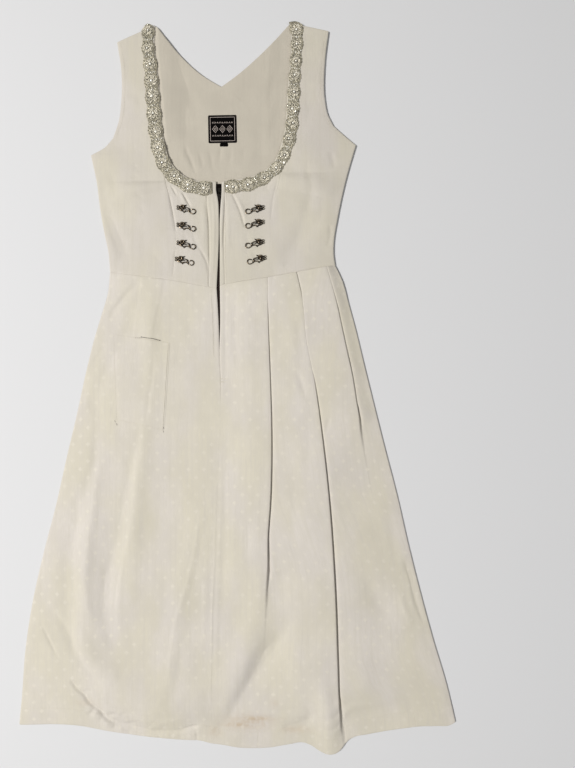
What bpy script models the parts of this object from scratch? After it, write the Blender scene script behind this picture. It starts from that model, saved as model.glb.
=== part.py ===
"""A sleeveless dirndl dress laid flat, face up, at its real size.

Every cloth piece is a closed wall of its own. The tables give the pieces in millimetres in
the garment's own frame: x from the centre front, y up from the waist seam at the centre
front, z up from the surface that the dress lies on. Left and right are the viewer's.
"""

import math
from collections import namedtuple

import bmesh
import bpy
import numpy as np

MM = 0.001

# The garment frame's place in the world, which puts the origin under the middle of the dress.
CENTRE_FRONT_X = -29.5
WAIST_Y = 170.5

# Walls, in millimetres.
CLOTH = 1.2
LINING = 1.0
PATCH = 1.0
ZIP_TAPE = 0.9
GAP = 0.3

# Heights of the layers above the surface, in millimetres.
LINING_BOTTOM = CLOTH + GAP
BODICE_BOTTOM = LINING_BOTTOM + LINING + GAP
SKIRT_BOTTOM = CLOTH + GAP
LOFT = 3.0
LOFT_REACH = 30.0
LOFT_FADE = 40.0
HEM_LOFT = 0.35
WAIST_RISE = 45.0
FOLD_MARGIN = 25.0
SHOULDER_Y = 432.0
HEM_Y = -750.0

SEAM_STEPS = 8
SKIRT_ROWS = 26
SKIRT_COLUMNS = 24

Point = namedtuple("Point", "x y")
Fold = namedtuple("Fold", "start_x start_y mid_x mid_y end_x end_y width height")
Pleat = namedtuple("Pleat", "down x depth turn radius")
HookStation = namedtuple("HookStation", "along up down thick")

# Steps along the edges of the grids.
ARMHOLE_STEPS = 6
UNDERARM_STEPS = 2
BACK_SIDE_STEPS = 7
BACK_COLUMNS = 6
FRONT_COLUMNS = 6
BACK_SKIRT_COLUMNS = 12
BACK_SKIRT_ROWS = 8

# The edges of the pieces. A seam is stated once, and both pieces at it read it.
ARMHOLE_LEFT = [Point(-172, 410), Point(-165, 363), Point(-165, 312), Point(-169, 279), Point(-179, 249)]
UNDERARM_LEFT = [Point(-179, 249), Point(-192, 234), Point(-216, 220)]
SIDE_LEFT = [Point(-216, 220), Point(-206, 173), Point(-201, 133), Point(-194, 92), Point(-186, 52),
             Point(-184, 24)]
ARMHOLE_RIGHT = [Point(183, 429), Point(177, 380), Point(177, 312), Point(181, 291), Point(191, 270)]
UNDERARM_RIGHT = [Point(191, 270), Point(211, 252), Point(229, 237)]
SIDE_RIGHT = [Point(229, 237), Point(216, 193), Point(206, 153), Point(198, 113), Point(192, 75),
              Point(191.5, 54), Point(194, 35)]
BACK_NECK_LEFT = [Point(-107, 438), Point(-73, 395), Point(-28, 354), Point(3, 336)]
BACK_NECK_RIGHT = [Point(117, 441), Point(75, 395), Point(28, 354), Point(3, 336)]
CENTRE_BACK_X = 3
BACK_CENTRE = (3, 200)
LEVEL_Y = 300
LINING_INSET = 1.2
INSET_REACH = 60
SEAM_HALF_GAP = GAP / 2 + 0.05
SCOOP_LEFT = [Point(-109, 439), Point(-109, 403), Point(-105, 370), Point(-101, 329), Point(-98, 291),
              Point(-94.5, 254),
              Point(-90, 230)]
SCOOP_LEFT_LOW = [Point(-90, 230), Point(-85, 214), Point(-77, 201), Point(-58, 184), Point(-37, 176),
                  Point(-22, 175)]
SCOOP_RIGHT = [Point(117, 443), Point(121, 412), Point(119.5, 380), Point(116.5, 350), Point(113.5, 306),
               Point(110, 262),
               Point(102, 231)]
SCOOP_RIGHT_LOW = [Point(102, 231), Point(93, 210), Point(78, 195), Point(59, 185), Point(38, 179.5),
                   Point(9, 176)]
PRINCESS_LEFT = [Point(-90, 230), Point(-95, 206), Point(-91, 179), Point(-81, 136), Point(-74, 92),
                 Point(-75, 52),
                 Point(-80, 10)]
PRINCESS_RIGHT = [Point(102, 231), Point(104, 197), Point(98, 165), Point(89, 133), Point(85, 77),
                  Point(85, 15)]
PLACKET_LEFT = [Point(-22, 175), Point(-21, 144), Point(-18, 104), Point(-17, 54), Point(-18, -1)]
PLACKET_RIGHT = [Point(9, 176), Point(9, 144), Point(8, 104), Point(8, 54), Point(9, 3)]
SLIT_LEFT = [Point(-6, 175), Point(-6, 161), Point(-3, 146), Point(-1.5, 114), Point(-2, 60), Point(-4, 18),
             Point(-5, -3)]
SLIT_RIGHT = [Point(4, 174), Point(4, 161), Point(3, 146), Point(1, 114), Point(1, 60), Point(1, 18),
              Point(1, 1)]
WAIST_LEFT = [Point(-184, 24), Point(-80, 10), Point(-18, -1), Point(-5, -3)]
WAIST_RIGHT = [Point(1, 1), Point(9, 3), Point(85, 15), Point(194, 35)]
CENTRE_SEAM_LEFT = [Point(-5, -3), Point(-2, -57), Point(0, -118), Point(2.5, -160), Point(-1, -276),
                    Point(-4, -360), Point(-13, -623), Point(-13, -771)]
CENTRE_SEAM_RIGHT = [Point(1, 1), Point(1.5, -57), Point(0.4, -118), Point(2.9, -160), Point(-0.6, -276),
                     Point(-3.6, -360), Point(-12.6, -623), Point(-12.6, -771)]
SKIRT_SIDE_LEFT = [Point(-184, 24), Point(-187, -8), Point(-199, -49), Point(-211, -89), Point(-226, -150),
                   Point(-239, -210), Point(-258, -291), Point(-276, -371), Point(-297, -452),
                   Point(-315, -533), Point(-327, -613), Point(-333, -694), Point(-337, -738)]
SKIRT_SIDE_RIGHT = [Point(194, 35), Point(205, 12), Point(217, -29), Point(228, -69), Point(242.5, -129),
                    Point(257.5, -190), Point(277.5, -270), Point(298.5, -351), Point(317, -432),
                    Point(337, -512), Point(359, -593), Point(383, -674), Point(397, -734)]
HEM_LEFT = [Point(-337, -738), Point(-243, -738), Point(-184, -749), Point(-117, -758), Point(-50, -763.5),
            Point(-34, -764), Point(-13, -769)]
HEM_RIGHT = [Point(-13, -769), Point(4, -771), Point(34, -776), Point(85, -775.5), Point(120, -769.5),
             Point(140, -767), Point(155, -772.5), Point(168, -781), Point(186, -787), Point(201, -782),
             Point(211, -770), Point(218, -763), Point(226, -758.5), Point(248, -754), Point(292, -746),
             Point(335, -740.5), Point(365, -740), Point(389, -738.5), Point(397, -734)]
BACK_SKIRT_INSET = 2.0
BACK_HEM = [Point(-335, -734), Point(-243, -734), Point(-117, -752), Point(30, -762), Point(180, -758),
            Point(303, -740), Point(395, -730)]
BACK_WAIST = [Point(-184, 24), Point(3, 16), Point(194, 35)]

# The largest folds: soft ridges, or troughs where the height is negative.
FOLDS = [
    Fold(-134, 175, -134, 165, -130, 150, 48, 4.5),
    Fold(146, 190, 146, 175, 142, 155, 48, 4.5),
    Fold(152, 138, 135, 69, 102, 34, 16, -2.5),
    Fold(-192, 119, -176, 77, -159, 40, 14, -2.0),
    Fold(-113, -7, -123, -91, -113, -166, 14, 2.0),
    Fold(-209, -309, -238, -511, -221, -622, 17, 3.0),
    Fold(-243, -360, -268, -494, -243, -622, 14, -2.0),
    Fold(-172, -340, -199, -511, -182, -612, 15, -2.0),
    Fold(-120, -192, -142, -393, -152, -538, 15, 2.4),
    Fold(-225, -630, -125, -735, -20, -690, 30, 7.0),
    Fold(5, -700, 51, -610, 73, -500, 22, 3.6),
    Fold(124, -545, 78, -625, 14, -735, 17, -2.6),
    Fold(-38, -380, -64, -528, -94, -679, 16, 1.8),
    Fold(172, -660, 184, -720, 187, -790, 15, 4.0),
    Fold(125, -500, 128, -620, 135, -730, 20, 2.0),
    Fold(244, -486, 264, -525, 283, -564, 14, -2.0),
]

FOLD_STEPS = 12
FOLD_END = 0.25

# The knife pleats of the right front. Each table runs down its folded edge: how deep the
# cloth goes back under it, how far round the wall turns, and the turn's radius.
PLEATS = [
    [Pleat(0, 81, 22, 180, 0.9), Pleat(60, 81.5, 24, 180, 1.2), Pleat(170, 85, 26, 180, 1.3),
     Pleat(240, 87, 26, 180, 1.3), Pleat(370, 85, 18, 180, 1.4), Pleat(430, 81, 8, 180, 1.4),
     Pleat(470, 81, 3.6, 145, 1.5), Pleat(492, 80.5, 0, 85, 2.4), Pleat(514, 79.5, 0, 48, 4.4),
     Pleat(542, 78, 0, 22, 8), Pleat(578, 76, 0, 7, 12), Pleat(640, 71, 0, 3, 12),
     Pleat(770, 62, 0, 1.5, 12)],
    [Pleat(0, 129, 20, 180, 0.9), Pleat(46, 139, 22, 180, 1.1), Pleat(113, 146, 20, 180, 1.2),
     Pleat(180, 159, 20, 180, 1.2), Pleat(250, 169, 20, 180, 1.5), Pleat(385, 184, 20, 180, 1.7),
     Pleat(520, 193, 20, 180, 1.7), Pleat(650, 198, 16, 180, 1.6), Pleat(690, 199.5, 9, 180, 1.6),
     Pleat(712, 201, 3.6, 140, 1.6), Pleat(730, 203, 0, 80, 2.6), Pleat(748, 206, 0, 34, 6),
     Pleat(770, 209, 0, 12, 10)],
    [Pleat(0, 180, 16, 180, 0.9), Pleat(56, 195, 18, 180, 1.1), Pleat(125, 210, 18, 180, 1.2),
     Pleat(190, 224, 16, 180, 1.3), Pleat(228, 230, 8, 180, 1.3), Pleat(246, 233, 3.6, 140, 1.4),
     Pleat(262, 235.5, 0, 80, 2.4), Pleat(280, 238, 0, 42, 4.6), Pleat(306, 242, 0, 17, 8),
     Pleat(345, 249, 0, 6, 11), Pleat(400, 259, 0, 3, 12), Pleat(770, 330, 0, 1.5, 12)],
]
SKIRT_LENGTH = 770.0
STRIP_STEPS = (6, 4, 4, 4)
TURN_STEPS = 3
LEAST_RETURN = 0.6

# The braid round the neck: its middle line, and the rosettes worked on it.
BRAID_LEFT = [Point(-120, 441), Point(-120, 403), Point(-116, 370), Point(-113, 328), Point(-109.5, 285),
              Point(-106, 252), Point(-100, 221), Point(-86, 193), Point(-62.5, 173), Point(-35, 163.5),
              Point(-12, 164)]
BRAID_RIGHT = [Point(127, 445), Point(130.5, 417), Point(129, 391), Point(126, 344), Point(124, 304),
               Point(120, 257),
               Point(112, 227), Point(101, 204), Point(84, 187), Point(63, 174.5), Point(40, 168),
               Point(9, 165.5)]
BRAID_THICK = 1.0
BRAID_HALF_WIDTH = 10.5
BRAID_SCALLOP = 1.6
BRAID_CLEAR = 0.9
ROSETTE_PITCH = 28.0
ROSETTE_RADIUS = 9.0
ROSETTE_HEIGHT = 2.4
STEPS_PER_ROSETTE = 5

# The bodice hooks: a flower with its sewing loop outside and an open ring inside.
HOOK_STATIONS = [
    HookStation(0.0, 0.9, 0.9, 1.0), HookStation(1.6, 2.3, 2.3, 1.5), HookStation(4.4, 2.2, 2.0, 1.6),
    HookStation(6.4, 3.2, 3.0, 2.2), HookStation(9.5, 6.4, 4.0, 2.8), HookStation(12.0, 4.4, 4.8, 3.2),
    HookStation(15.0, 3.4, 6.2, 2.8), HookStation(17.5, 2.6, 2.8, 2.4), HookStation(19.6, 2.2, 1.8, 2.0),
]
HOOK_RING_RADIUS = 4.0
HOOK_RING_WIRE = 1.0
HOOK_RING_X = 26.6
HOOK_RING_Y = -1.0
HOOK_RING_START = 235
HOOK_RING_TURN = 262
HOOK_RING_STEPS = 9
HOOK_MIDDLE = 14.0
HOOK_ALONG = (-17, -8, 0, 8, 17)
HOOK_ACROSS = (-8, 0, 8)
HOOK_TILT = 13
HOOKS_LEFT = [Point(-56, 128), Point(-56, 99), Point(-56, 69), Point(-59, 42)]
HOOKS_RIGHT = [Point(60, 128), Point(60, 104), Point(60, 71), Point(63, 44)]

LABEL_CENTRE = Point(5, 264)
LABEL_WIDTH = 48
LABEL_HEIGHT = 47
LABEL_THICK = 1.0
SIZE_TAB_WIDTH = 14
SIZE_TAB_HEIGHT = 6
SIZE_TAB_ASIDE = 2

POCKET = [Point(-181, -81), Point(-83, -96), Point(-92, -244), Point(-176, -227)]
POCKET_COLUMNS = 6
POCKET_ROWS = 8

ZIP_TOP = 172
ZIP_BOTTOM = -122
ZIP_TAPE_HALF = 11
ZIP_CHAIN_HALF = 2.4
ZIP_CHAIN_RISE = 0.5
ZIP_ROWS = 14
CHAIN_CLEAR = 1.0
CHAIN_STEP = 0.6
SLIDER_CLEAR = 0.4
SLIDER_Y = 160
SLIDER_X = 0
SLIDER_WIDTH = 6.4
SLIDER_LENGTH = 10
SLIDER_THICK = 2.2
BRIDGE_WIDTH = 2.0
BRIDGE_RISE = 2.8
BRIDGE_WALL = 0.9
TAB_WIDTH = 4.6
TAB_LENGTH = 15
TAB_THICK = 1.0
TAB_EYE = 5.6

COLOURS = {
    "bodice_cloth": ((0.60, 0.56, 0.47), 0.85, 0.0),
    "skirt_cloth": ((0.66, 0.62, 0.54), 0.80, 0.0),
    "lining_cloth": ((0.59, 0.55, 0.46), 0.85, 0.0),
    "silver_braid": ((0.42, 0.40, 0.33), 0.55, 0.2),
    "antique_metal": ((0.12, 0.09, 0.06), 0.35, 0.9),
    "label_satin": ((0.01, 0.01, 0.012), 0.45, 0.0),
    "zip_dark": ((0.02, 0.016, 0.014), 0.6, 0.0),
}


def clear_scene():
    for thing in list(bpy.data.objects):
        bpy.data.objects.remove(thing, do_unlink=True)


def material(slot):
    found = bpy.data.materials.get(slot)
    if found:
        return found
    colour, roughness, metallic = COLOURS[slot]
    made = bpy.data.materials.new(slot)
    made.use_nodes = True
    shader = made.node_tree.nodes["Principled BSDF"]
    shader.inputs["Base Color"].default_value = (*colour, 1.0)
    shader.inputs["Roughness"].default_value = roughness
    shader.inputs["Metallic"].default_value = metallic
    return made


def smooth_values(knots, values, at):
    """Reads values at `at` from a smooth curve through the knots."""
    knots = np.asarray(knots, float)
    values = np.asarray(values, float)
    at = np.clip(np.asarray(at, float), knots[0], knots[-1])
    if len(knots) == 2:
        share = (at - knots[0]) / (knots[1] - knots[0])
        return values[0] + np.multiply.outer(share, values[1] - values[0])
    slopes = np.gradient(values, knots, axis=0)
    i = np.clip(np.searchsorted(knots, at) - 1, 0, len(knots) - 2)
    width = knots[i + 1] - knots[i]
    t = (at - knots[i]) / width
    if values.ndim > 1:
        t = t[..., None]
        width = width[..., None]
    first = (1 + 2 * t) * (1 - t) ** 2 * values[i] + t * (1 - t) ** 2 * width * slopes[i]
    return first + t * t * (3 - 2 * t) * values[i + 1] - t * t * (1 - t) * width * slopes[i + 1]


def walk(points, shares):
    """Points at these shares of the length of a smooth curve through `points`."""
    points = np.asarray(points, float)
    run = np.concatenate([[0], np.cumsum(np.linalg.norm(np.diff(points, axis=0), axis=1))])
    return smooth_values(run, points, np.asarray(shares) * run[-1])


def edge(*stretches):
    """One edge from (points, steps) stretches, with a corner where two of them meet."""
    parts = [walk(points, np.linspace(0, 1, steps + 1)) for points, steps in stretches]
    return np.concatenate([parts[0]] + [part[1:] for part in parts[1:]])


def moved(points, right=0.0, up=0.0):
    return [Point(point.x + right, point.y + up) for point in points]


def fill(top, bottom, left, right):
    """Fills four edges that share their corners with a grid of points."""
    u = np.linspace(0, 1, len(top))[None, :, None]
    v = np.linspace(0, 1, len(left))[:, None, None]
    across = (1 - v) * top[None] + v * bottom[None]
    down = (1 - u) * left[:, None] + u * right[:, None]
    corners = (1 - v) * ((1 - u) * top[0] + u * top[-1]) + v * ((1 - u) * bottom[0] + u * bottom[-1])
    return across + down - corners


def grid_quads(rows, columns):
    """Quads of a grid whose rows run down and whose columns run right, facing up."""
    quads = []
    for row in range(rows - 1):
        for column in range(columns - 1):
            first = row * columns + column
            quads.append((first, first + columns, first + columns + 1, first + 1))
    return quads


def soft_step(value):
    value = np.clip(value, 0, 1)
    return value * value * (3 - 2 * value)


def side_x(y, *stretches):
    points = sorted({point for stretch in stretches for point in stretch}, key=lambda point: point.y)
    return np.interp(y, [point.y for point in points], [point.x for point in points])


def fold_height(x, y, fold):
    """A ridge along a curved line, fading out at both ends."""
    t = np.linspace(0, 1, FOLD_STEPS + 1)
    line_x = (1 - t) ** 2 * fold.start_x + 2 * t * (1 - t) * fold.mid_x + t * t * fold.end_x
    line_y = (1 - t) ** 2 * fold.start_y + 2 * t * (1 - t) * fold.mid_y + t * t * fold.end_y
    best = np.full(np.shape(x), 1e9)
    along = np.zeros(np.shape(x))
    for i in range(len(t) - 1):
        step_x = line_x[i + 1] - line_x[i]
        step_y = line_y[i + 1] - line_y[i]
        share = ((x - line_x[i]) * step_x + (y - line_y[i]) * step_y) / (step_x**2 + step_y**2)
        share = np.clip(share, 0, 1)
        away = np.hypot(x - line_x[i] - share * step_x, y - line_y[i] - share * step_y)
        along = np.where(away < best, (i + share) / (len(t) - 1), along)
        best = np.minimum(best, away)
    fade = FOLD_END + (1 - FOLD_END) * np.sin(np.pi * along)
    return fold.height * fade * np.exp(-((best / fold.width) ** 2))


def front_bottom(x, y):
    """Height of the underside of the front over a point of the garment frame."""
    x = np.asarray(x, float)
    y = np.asarray(y, float)
    bodice = soft_step(y / WAIST_RISE + 1)
    rest = SKIRT_BOTTOM + (BODICE_BOTTOM - SKIRT_BOTTOM) * bodice
    left = side_x(y, SKIRT_SIDE_LEFT, SIDE_LEFT, UNDERARM_LEFT, ARMHOLE_LEFT)
    right = side_x(y, SKIRT_SIDE_RIGHT, SIDE_RIGHT, UNDERARM_RIGHT, ARMHOLE_RIGHT)
    inside = np.maximum(np.minimum(x - left, right - x), 0)
    loft = LOFT * (1 - np.exp(-inside / LOFT_REACH))
    loft = loft * soft_step((SHOULDER_Y - y) / LOFT_FADE)
    loft = loft * (HEM_LOFT + (1 - HEM_LOFT) * soft_step((y - HEM_Y) / LOFT_FADE))
    folds = sum(fold_height(x, y, fold) for fold in FOLDS)
    edge_fade = soft_step(inside / FOLD_MARGIN)
    return rest + np.maximum(loft + folds * edge_fade, 0)


def front_top(x, y):
    return front_bottom(x, y) + CLOTH


def world(points):
    """Garment millimetres to world metres."""
    return (np.asarray(points, float) + (CENTRE_FRONT_X, WAIST_Y, 0)) * MM


def add_object(name, points, faces, slot, sharp=60):
    mesh = bpy.data.meshes.new(name)
    mesh.from_pydata([tuple(point) for point in points], [], faces)
    mesh.validate()
    mesh.shade_smooth()
    mesh.set_sharp_from_angle(angle=math.radians(sharp))
    mesh.materials.append(material(slot))
    made = bpy.data.objects.new(name, mesh)
    bpy.context.scene.collection.objects.link(made)
    return made


def closed_wall(name, lower, upper, quads, slot):
    """A closed solid between two sheets of the same quads, with a rim round their edges."""
    count = len(lower)
    directed = {(face[i], face[(i + 1) % 4]) for face in quads for i in range(4)}
    rims = [(a, b, b + count, a + count) for a, b in sorted(directed) if (b, a) not in directed]
    faces = [tuple(reversed(face)) for face in quads]
    faces += [tuple(index + count for index in face) for face in quads]
    return add_object(name, world(np.concatenate([lower, upper])), faces + rims, slot)


def raised(plan, bottom, thick):
    """Lower and upper points of a wall over a grid in plan, from the heights of its underside."""
    flat = plan.reshape(-1, 2)
    height = np.broadcast_to(np.asarray(bottom, float).reshape(-1), (len(flat),))
    lower = np.column_stack([flat, height])
    return lower, lower + (0, 0, thick)


def front_piece(name, plan, slot):
    lower, upper = raised(plan, front_bottom(plan[..., 0], plan[..., 1]), CLOTH)
    closed_wall(name, lower, upper, grid_quads(*plan.shape[:2]), slot)


def back_plan():
    """Both halves of the back bodice, welded at the centre back below the neck's point."""
    steps = (ARMHOLE_STEPS, UNDERARM_STEPS, BACK_SIDE_STEPS)
    columns = BACK_COLUMNS
    neck_y = BACK_NECK_LEFT[-1].y
    centre = [Point(CENTRE_BACK_X, neck_y), Point(CENTRE_BACK_X, LEVEL_Y), Point(*BACK_WAIST[1])]
    centre_edge = [(centre[:2], steps[1]), (centre[1:], steps[2])]
    halves = []
    for neck, armhole, underarm, side in (
        (BACK_NECK_LEFT, ARMHOLE_LEFT, UNDERARM_LEFT, SIDE_LEFT),
        (BACK_NECK_RIGHT, ARMHOLE_RIGHT, UNDERARM_RIGHT, SIDE_RIGHT),
    ):
        outer = edge((armhole, steps[0]), (underarm, steps[1]), (side, steps[2]))
        inner = edge((neck, steps[0]), *centre_edge)
        if outer[0, 0] > inner[0, 0]:
            outer, inner = inner, outer
        top = edge(([Point(*outer[0]), Point(*inner[0])], columns))
        bottom = edge(([Point(*outer[-1]), Point(*inner[-1])], columns))
        halves.append(fill(top, bottom, outer, inner))
    rows = sum(steps) + 1
    quads = grid_quads(rows, columns + 1)
    count = rows * (columns + 1)
    left_centre = {row: row * (columns + 1) + columns for row in range(steps[0], rows)}
    weld = {count + row * (columns + 1): left_centre[row] for row in left_centre}
    right_quads = [tuple(weld.get(index + count, index + count) for index in face) for face in quads]
    plan = np.concatenate([half.reshape(-1, 2) for half in halves])
    used = sorted({index for face in quads + right_quads for index in face})
    order = {index: place for place, index in enumerate(used)}
    faces = [tuple(order[index] for index in face) for face in quads + right_quads]
    return plan[used], faces


def inset(plan, distance, centre):
    """Points drawn in towards a centre by about this distance, and by less near it."""
    away = plan - centre
    reach = np.linalg.norm(away, axis=-1, keepdims=True)
    return centre + away * (1 - distance / np.maximum(reach, INSET_REACH))


def make_back_bodice():
    plan, faces = back_plan()
    lower, upper = raised(plan, 0, CLOTH)
    closed_wall("back_bodice", lower, upper, faces, "bodice_cloth")
    plan = inset(plan, LINING_INSET, np.array(BACK_CENTRE, float))
    lower, upper = raised(plan, LINING_BOTTOM, LINING)
    closed_wall("back_lining", lower, upper, faces, "lining_cloth")


def make_back_skirt():
    columns = BACK_SKIRT_COLUMNS
    rows = BACK_SKIRT_ROWS
    top = edge((moved(BACK_WAIST, up=-GAP), columns))
    top[0, 0] += BACK_SKIRT_INSET
    top[-1, 0] -= BACK_SKIRT_INSET
    bottom = edge((BACK_HEM, columns))
    left = edge((moved(SKIRT_SIDE_LEFT, right=BACK_SKIRT_INSET), rows))
    right = edge((moved(SKIRT_SIDE_RIGHT, right=-BACK_SKIRT_INSET), rows))
    for side, end in ((left, 0), (right, -1)):
        side[0] = top[end]
        side[-1] = bottom[end]
    plan = fill(top, bottom, left, right)
    lower, upper = raised(plan, 0, CLOTH)
    closed_wall("back_skirt", lower, upper, grid_quads(rows + 1, columns + 1), "skirt_cloth")


def between(first, last, steps):
    return edge(([Point(*first), Point(*last)], steps))


def make_front_bodice():
    half = SEAM_HALF_GAP
    side_steps = (ARMHOLE_STEPS, UNDERARM_STEPS, SEAM_STEPS)
    columns = FRONT_COLUMNS
    for name, armhole, underarm, side, scoop, princess, sign in (
        ("front_side_left", ARMHOLE_LEFT, UNDERARM_LEFT, SIDE_LEFT, SCOOP_LEFT, PRINCESS_LEFT, -1),
        ("front_side_right", ARMHOLE_RIGHT, UNDERARM_RIGHT, SIDE_RIGHT, SCOOP_RIGHT, PRINCESS_RIGHT, 1),
    ):
        outer = edge((armhole, side_steps[0]), (underarm, side_steps[1]), (side, side_steps[2]))
        inner = edge((moved(scoop, sign * half), side_steps[0] + side_steps[1]),
                     (moved(princess, sign * half), side_steps[2]))
        ends = (inner, outer) if sign > 0 else (outer, inner)
        top = between(ends[0][0], ends[1][0], columns)
        bottom = between(ends[0][-1], ends[1][-1], columns)
        front_piece(name, fill(top, bottom, *ends), "bodice_cloth")
    steps = SEAM_STEPS
    left = edge((moved(PRINCESS_LEFT, half), steps))
    right = edge((moved(PLACKET_LEFT, -half), steps))
    top = edge((moved(SCOOP_LEFT_LOW), columns))
    top[0], top[-1] = left[0], right[0]
    front_piece("front_centre_left", fill(top, between(left[-1], right[-1], columns), left, right),
                "bodice_cloth")
    left = edge((moved(PLACKET_RIGHT, half), steps))
    right = edge((moved(PRINCESS_RIGHT, -half), steps))
    top = edge((list(reversed(SCOOP_RIGHT_LOW)), columns))
    top[0], top[-1] = left[0], right[0]
    front_piece("front_centre_right", fill(top, between(left[-1], right[-1], columns), left, right),
                "bodice_cloth")
    for name, ends in (("placket_left", (moved(PLACKET_LEFT, half), SLIT_LEFT)),
                       ("placket_right", (SLIT_RIGHT, moved(PLACKET_RIGHT, -half)))):
        left = edge((ends[0], steps))
        right = edge((ends[1], steps))
        front_piece(name, fill(between(left[0], right[0], 2), between(left[-1], right[-1], 2), left, right),
                    "bodice_cloth")


def row_shares():
    """Shares of the skirt's length, closer together towards the hem."""
    t = np.linspace(0, 1, SKIRT_ROWS)
    return 0.8 * t + 0.2 * np.sin(t * math.pi / 2)


def skirt_y(line, x):
    return smooth_values([point.x for point in line], [point.y for point in line], x)


def make_front_skirt_left():
    shares = row_shares()
    left = walk(moved(SKIRT_SIDE_LEFT, up=-GAP), shares)
    right = walk(moved(CENTRE_SEAM_LEFT, up=-GAP), shares)
    u = np.linspace(0, 1, SKIRT_COLUMNS + 1)[None]
    x = left[:, :1] + (right[:, :1] - left[:, :1]) * u
    y = left[:, 1:] + (right[:, 1:] - left[:, 1:]) * u
    waist = np.interp(x[0], *zip(*WAIST_LEFT)) - GAP - y[0]
    sag = skirt_y(HEM_LEFT, x[-1]) - y[-1]
    y = y + (1 - shares[:, None]) ** 2 * waist[None] + shares[:, None] ** 2 * sag[None]
    front_piece("front_skirt_left", np.stack([x, y], axis=-1), "skirt_cloth")


def pleat_at(table, down):
    downs = [row.down for row in table]
    x = float(smooth_values(downs, [row.x for row in table], down))
    depth, turn, radius = (
        float(np.interp(down, downs, [getattr(row, name) for row in table]))
        for name in ("depth", "turn", "radius")
    )
    back = max(depth - 2 * radius, LEAST_RETURN)
    return Pleat(down, x, back, math.radians(turn), radius)


def drop_of(pleat):
    return 2 * pleat.radius * (1 - math.cos(pleat.turn)) + pleat.depth * math.sin(pleat.turn)


def pleated_row(left_x, right_x, down):
    """The cloth's middle line across one row: x, height and heading."""
    line = []
    start_x = left_x
    pleats = [pleat_at(table, down) for table in PLEATS]
    for number, steps in enumerate(STRIP_STEPS):
        last = number == len(pleats)
        pleat = None if last else pleats[number]
        top = 0.0 if last else drop_of(pleat)
        end_x = right_x if last else pleat.x - pleat.radius * math.sin(min(pleat.turn, math.pi / 2))
        marks = []
        if number:
            back = pleats[number - 1].depth
            marks += [start_x, start_x + back / 2, start_x + back]
        begin = start_x + (pleats[number - 1].depth if number else 0)
        finish = end_x - (0 if last else pleat.depth)
        marks += list(np.linspace(begin, finish, steps + 1)[1 if number else 0:])
        if not last:
            marks += [end_x - pleat.depth / 2, end_x]
        for x in marks:
            share = (x - begin) / (finish - begin)
            line.append((x, top * soft_step(share), 0.0))
        if last:
            break
        x, height, heading = end_x, top, 0.0
        step = pleat.turn / TURN_STEPS
        reach = 2 * pleat.radius * math.sin(step / 2)
        pieces = [(-step, reach)] * TURN_STEPS + [(0, pleat.depth / 2)] * 2 + [(step, reach)] * TURN_STEPS
        for place, (bend, length) in enumerate(pieces):
            x += length * math.cos(heading + bend / 2)
            height += length * math.sin(heading + bend / 2)
            heading += bend
            if place < len(pieces) - 1:
                line.append((x, height, heading))
        start_x = x
    return np.array(line)


def make_front_skirt_right():
    shares = row_shares()
    left = walk(moved(CENTRE_SEAM_RIGHT, up=-GAP), shares)
    right = walk(moved(SKIRT_SIDE_RIGHT, up=-GAP), shares)
    lower = []
    upper = []
    for share, start, end in zip(shares, left, right):
        row = pleated_row(start[0], end[0], share * SKIRT_LENGTH)
        u = (row[:, 0] - start[0]) / (end[0] - start[0])
        hem_x = left[-1, 0] + (right[-1, 0] - left[-1, 0]) * u
        hem_y = skirt_y(HEM_RIGHT, hem_x)
        chord = left[-1, 1] + (right[-1, 1] - left[-1, 1]) * u
        waist_x = left[0, 0] + (right[0, 0] - left[0, 0]) * u
        waist = np.interp(waist_x, *zip(*WAIST_RIGHT)) - GAP - left[0, 1] - (right[0, 1] - left[0, 1]) * u
        y = start[1] + (end[1] - start[1]) * u + (1 - share) ** 2 * waist + share**2 * (hem_y - chord)
        across = -np.sin(row[:, 2]) * CLOTH / 2
        rise = np.cos(row[:, 2]) * CLOTH / 2
        for points, side in ((lower, -1), (upper, 1)):
            x = row[:, 0] + side * across
            z = front_bottom(x, y) + CLOTH / 2 + row[:, 1] + side * rise
            points.append(np.column_stack([x, y, z]))
    columns = len(lower[0])
    quads = grid_quads(SKIRT_ROWS, columns)
    closed_wall("front_skirt_right", np.concatenate(lower), np.concatenate(upper), quads, "skirt_cloth")


def make_pocket():
    corners = np.array(POCKET, float)
    top = between(corners[0], corners[1], POCKET_COLUMNS)
    bottom = between(corners[3], corners[2], POCKET_COLUMNS)
    left = between(corners[0], corners[3], POCKET_ROWS)
    plan = fill(top, bottom, left, between(corners[1], corners[2], POCKET_ROWS))
    lower, upper = raised(plan, front_top(plan[..., 0], plan[..., 1]) + 2 * GAP, PATCH)
    closed_wall("pocket", lower, upper, grid_quads(POCKET_ROWS + 1, POCKET_COLUMNS + 1), "skirt_cloth")


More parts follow.
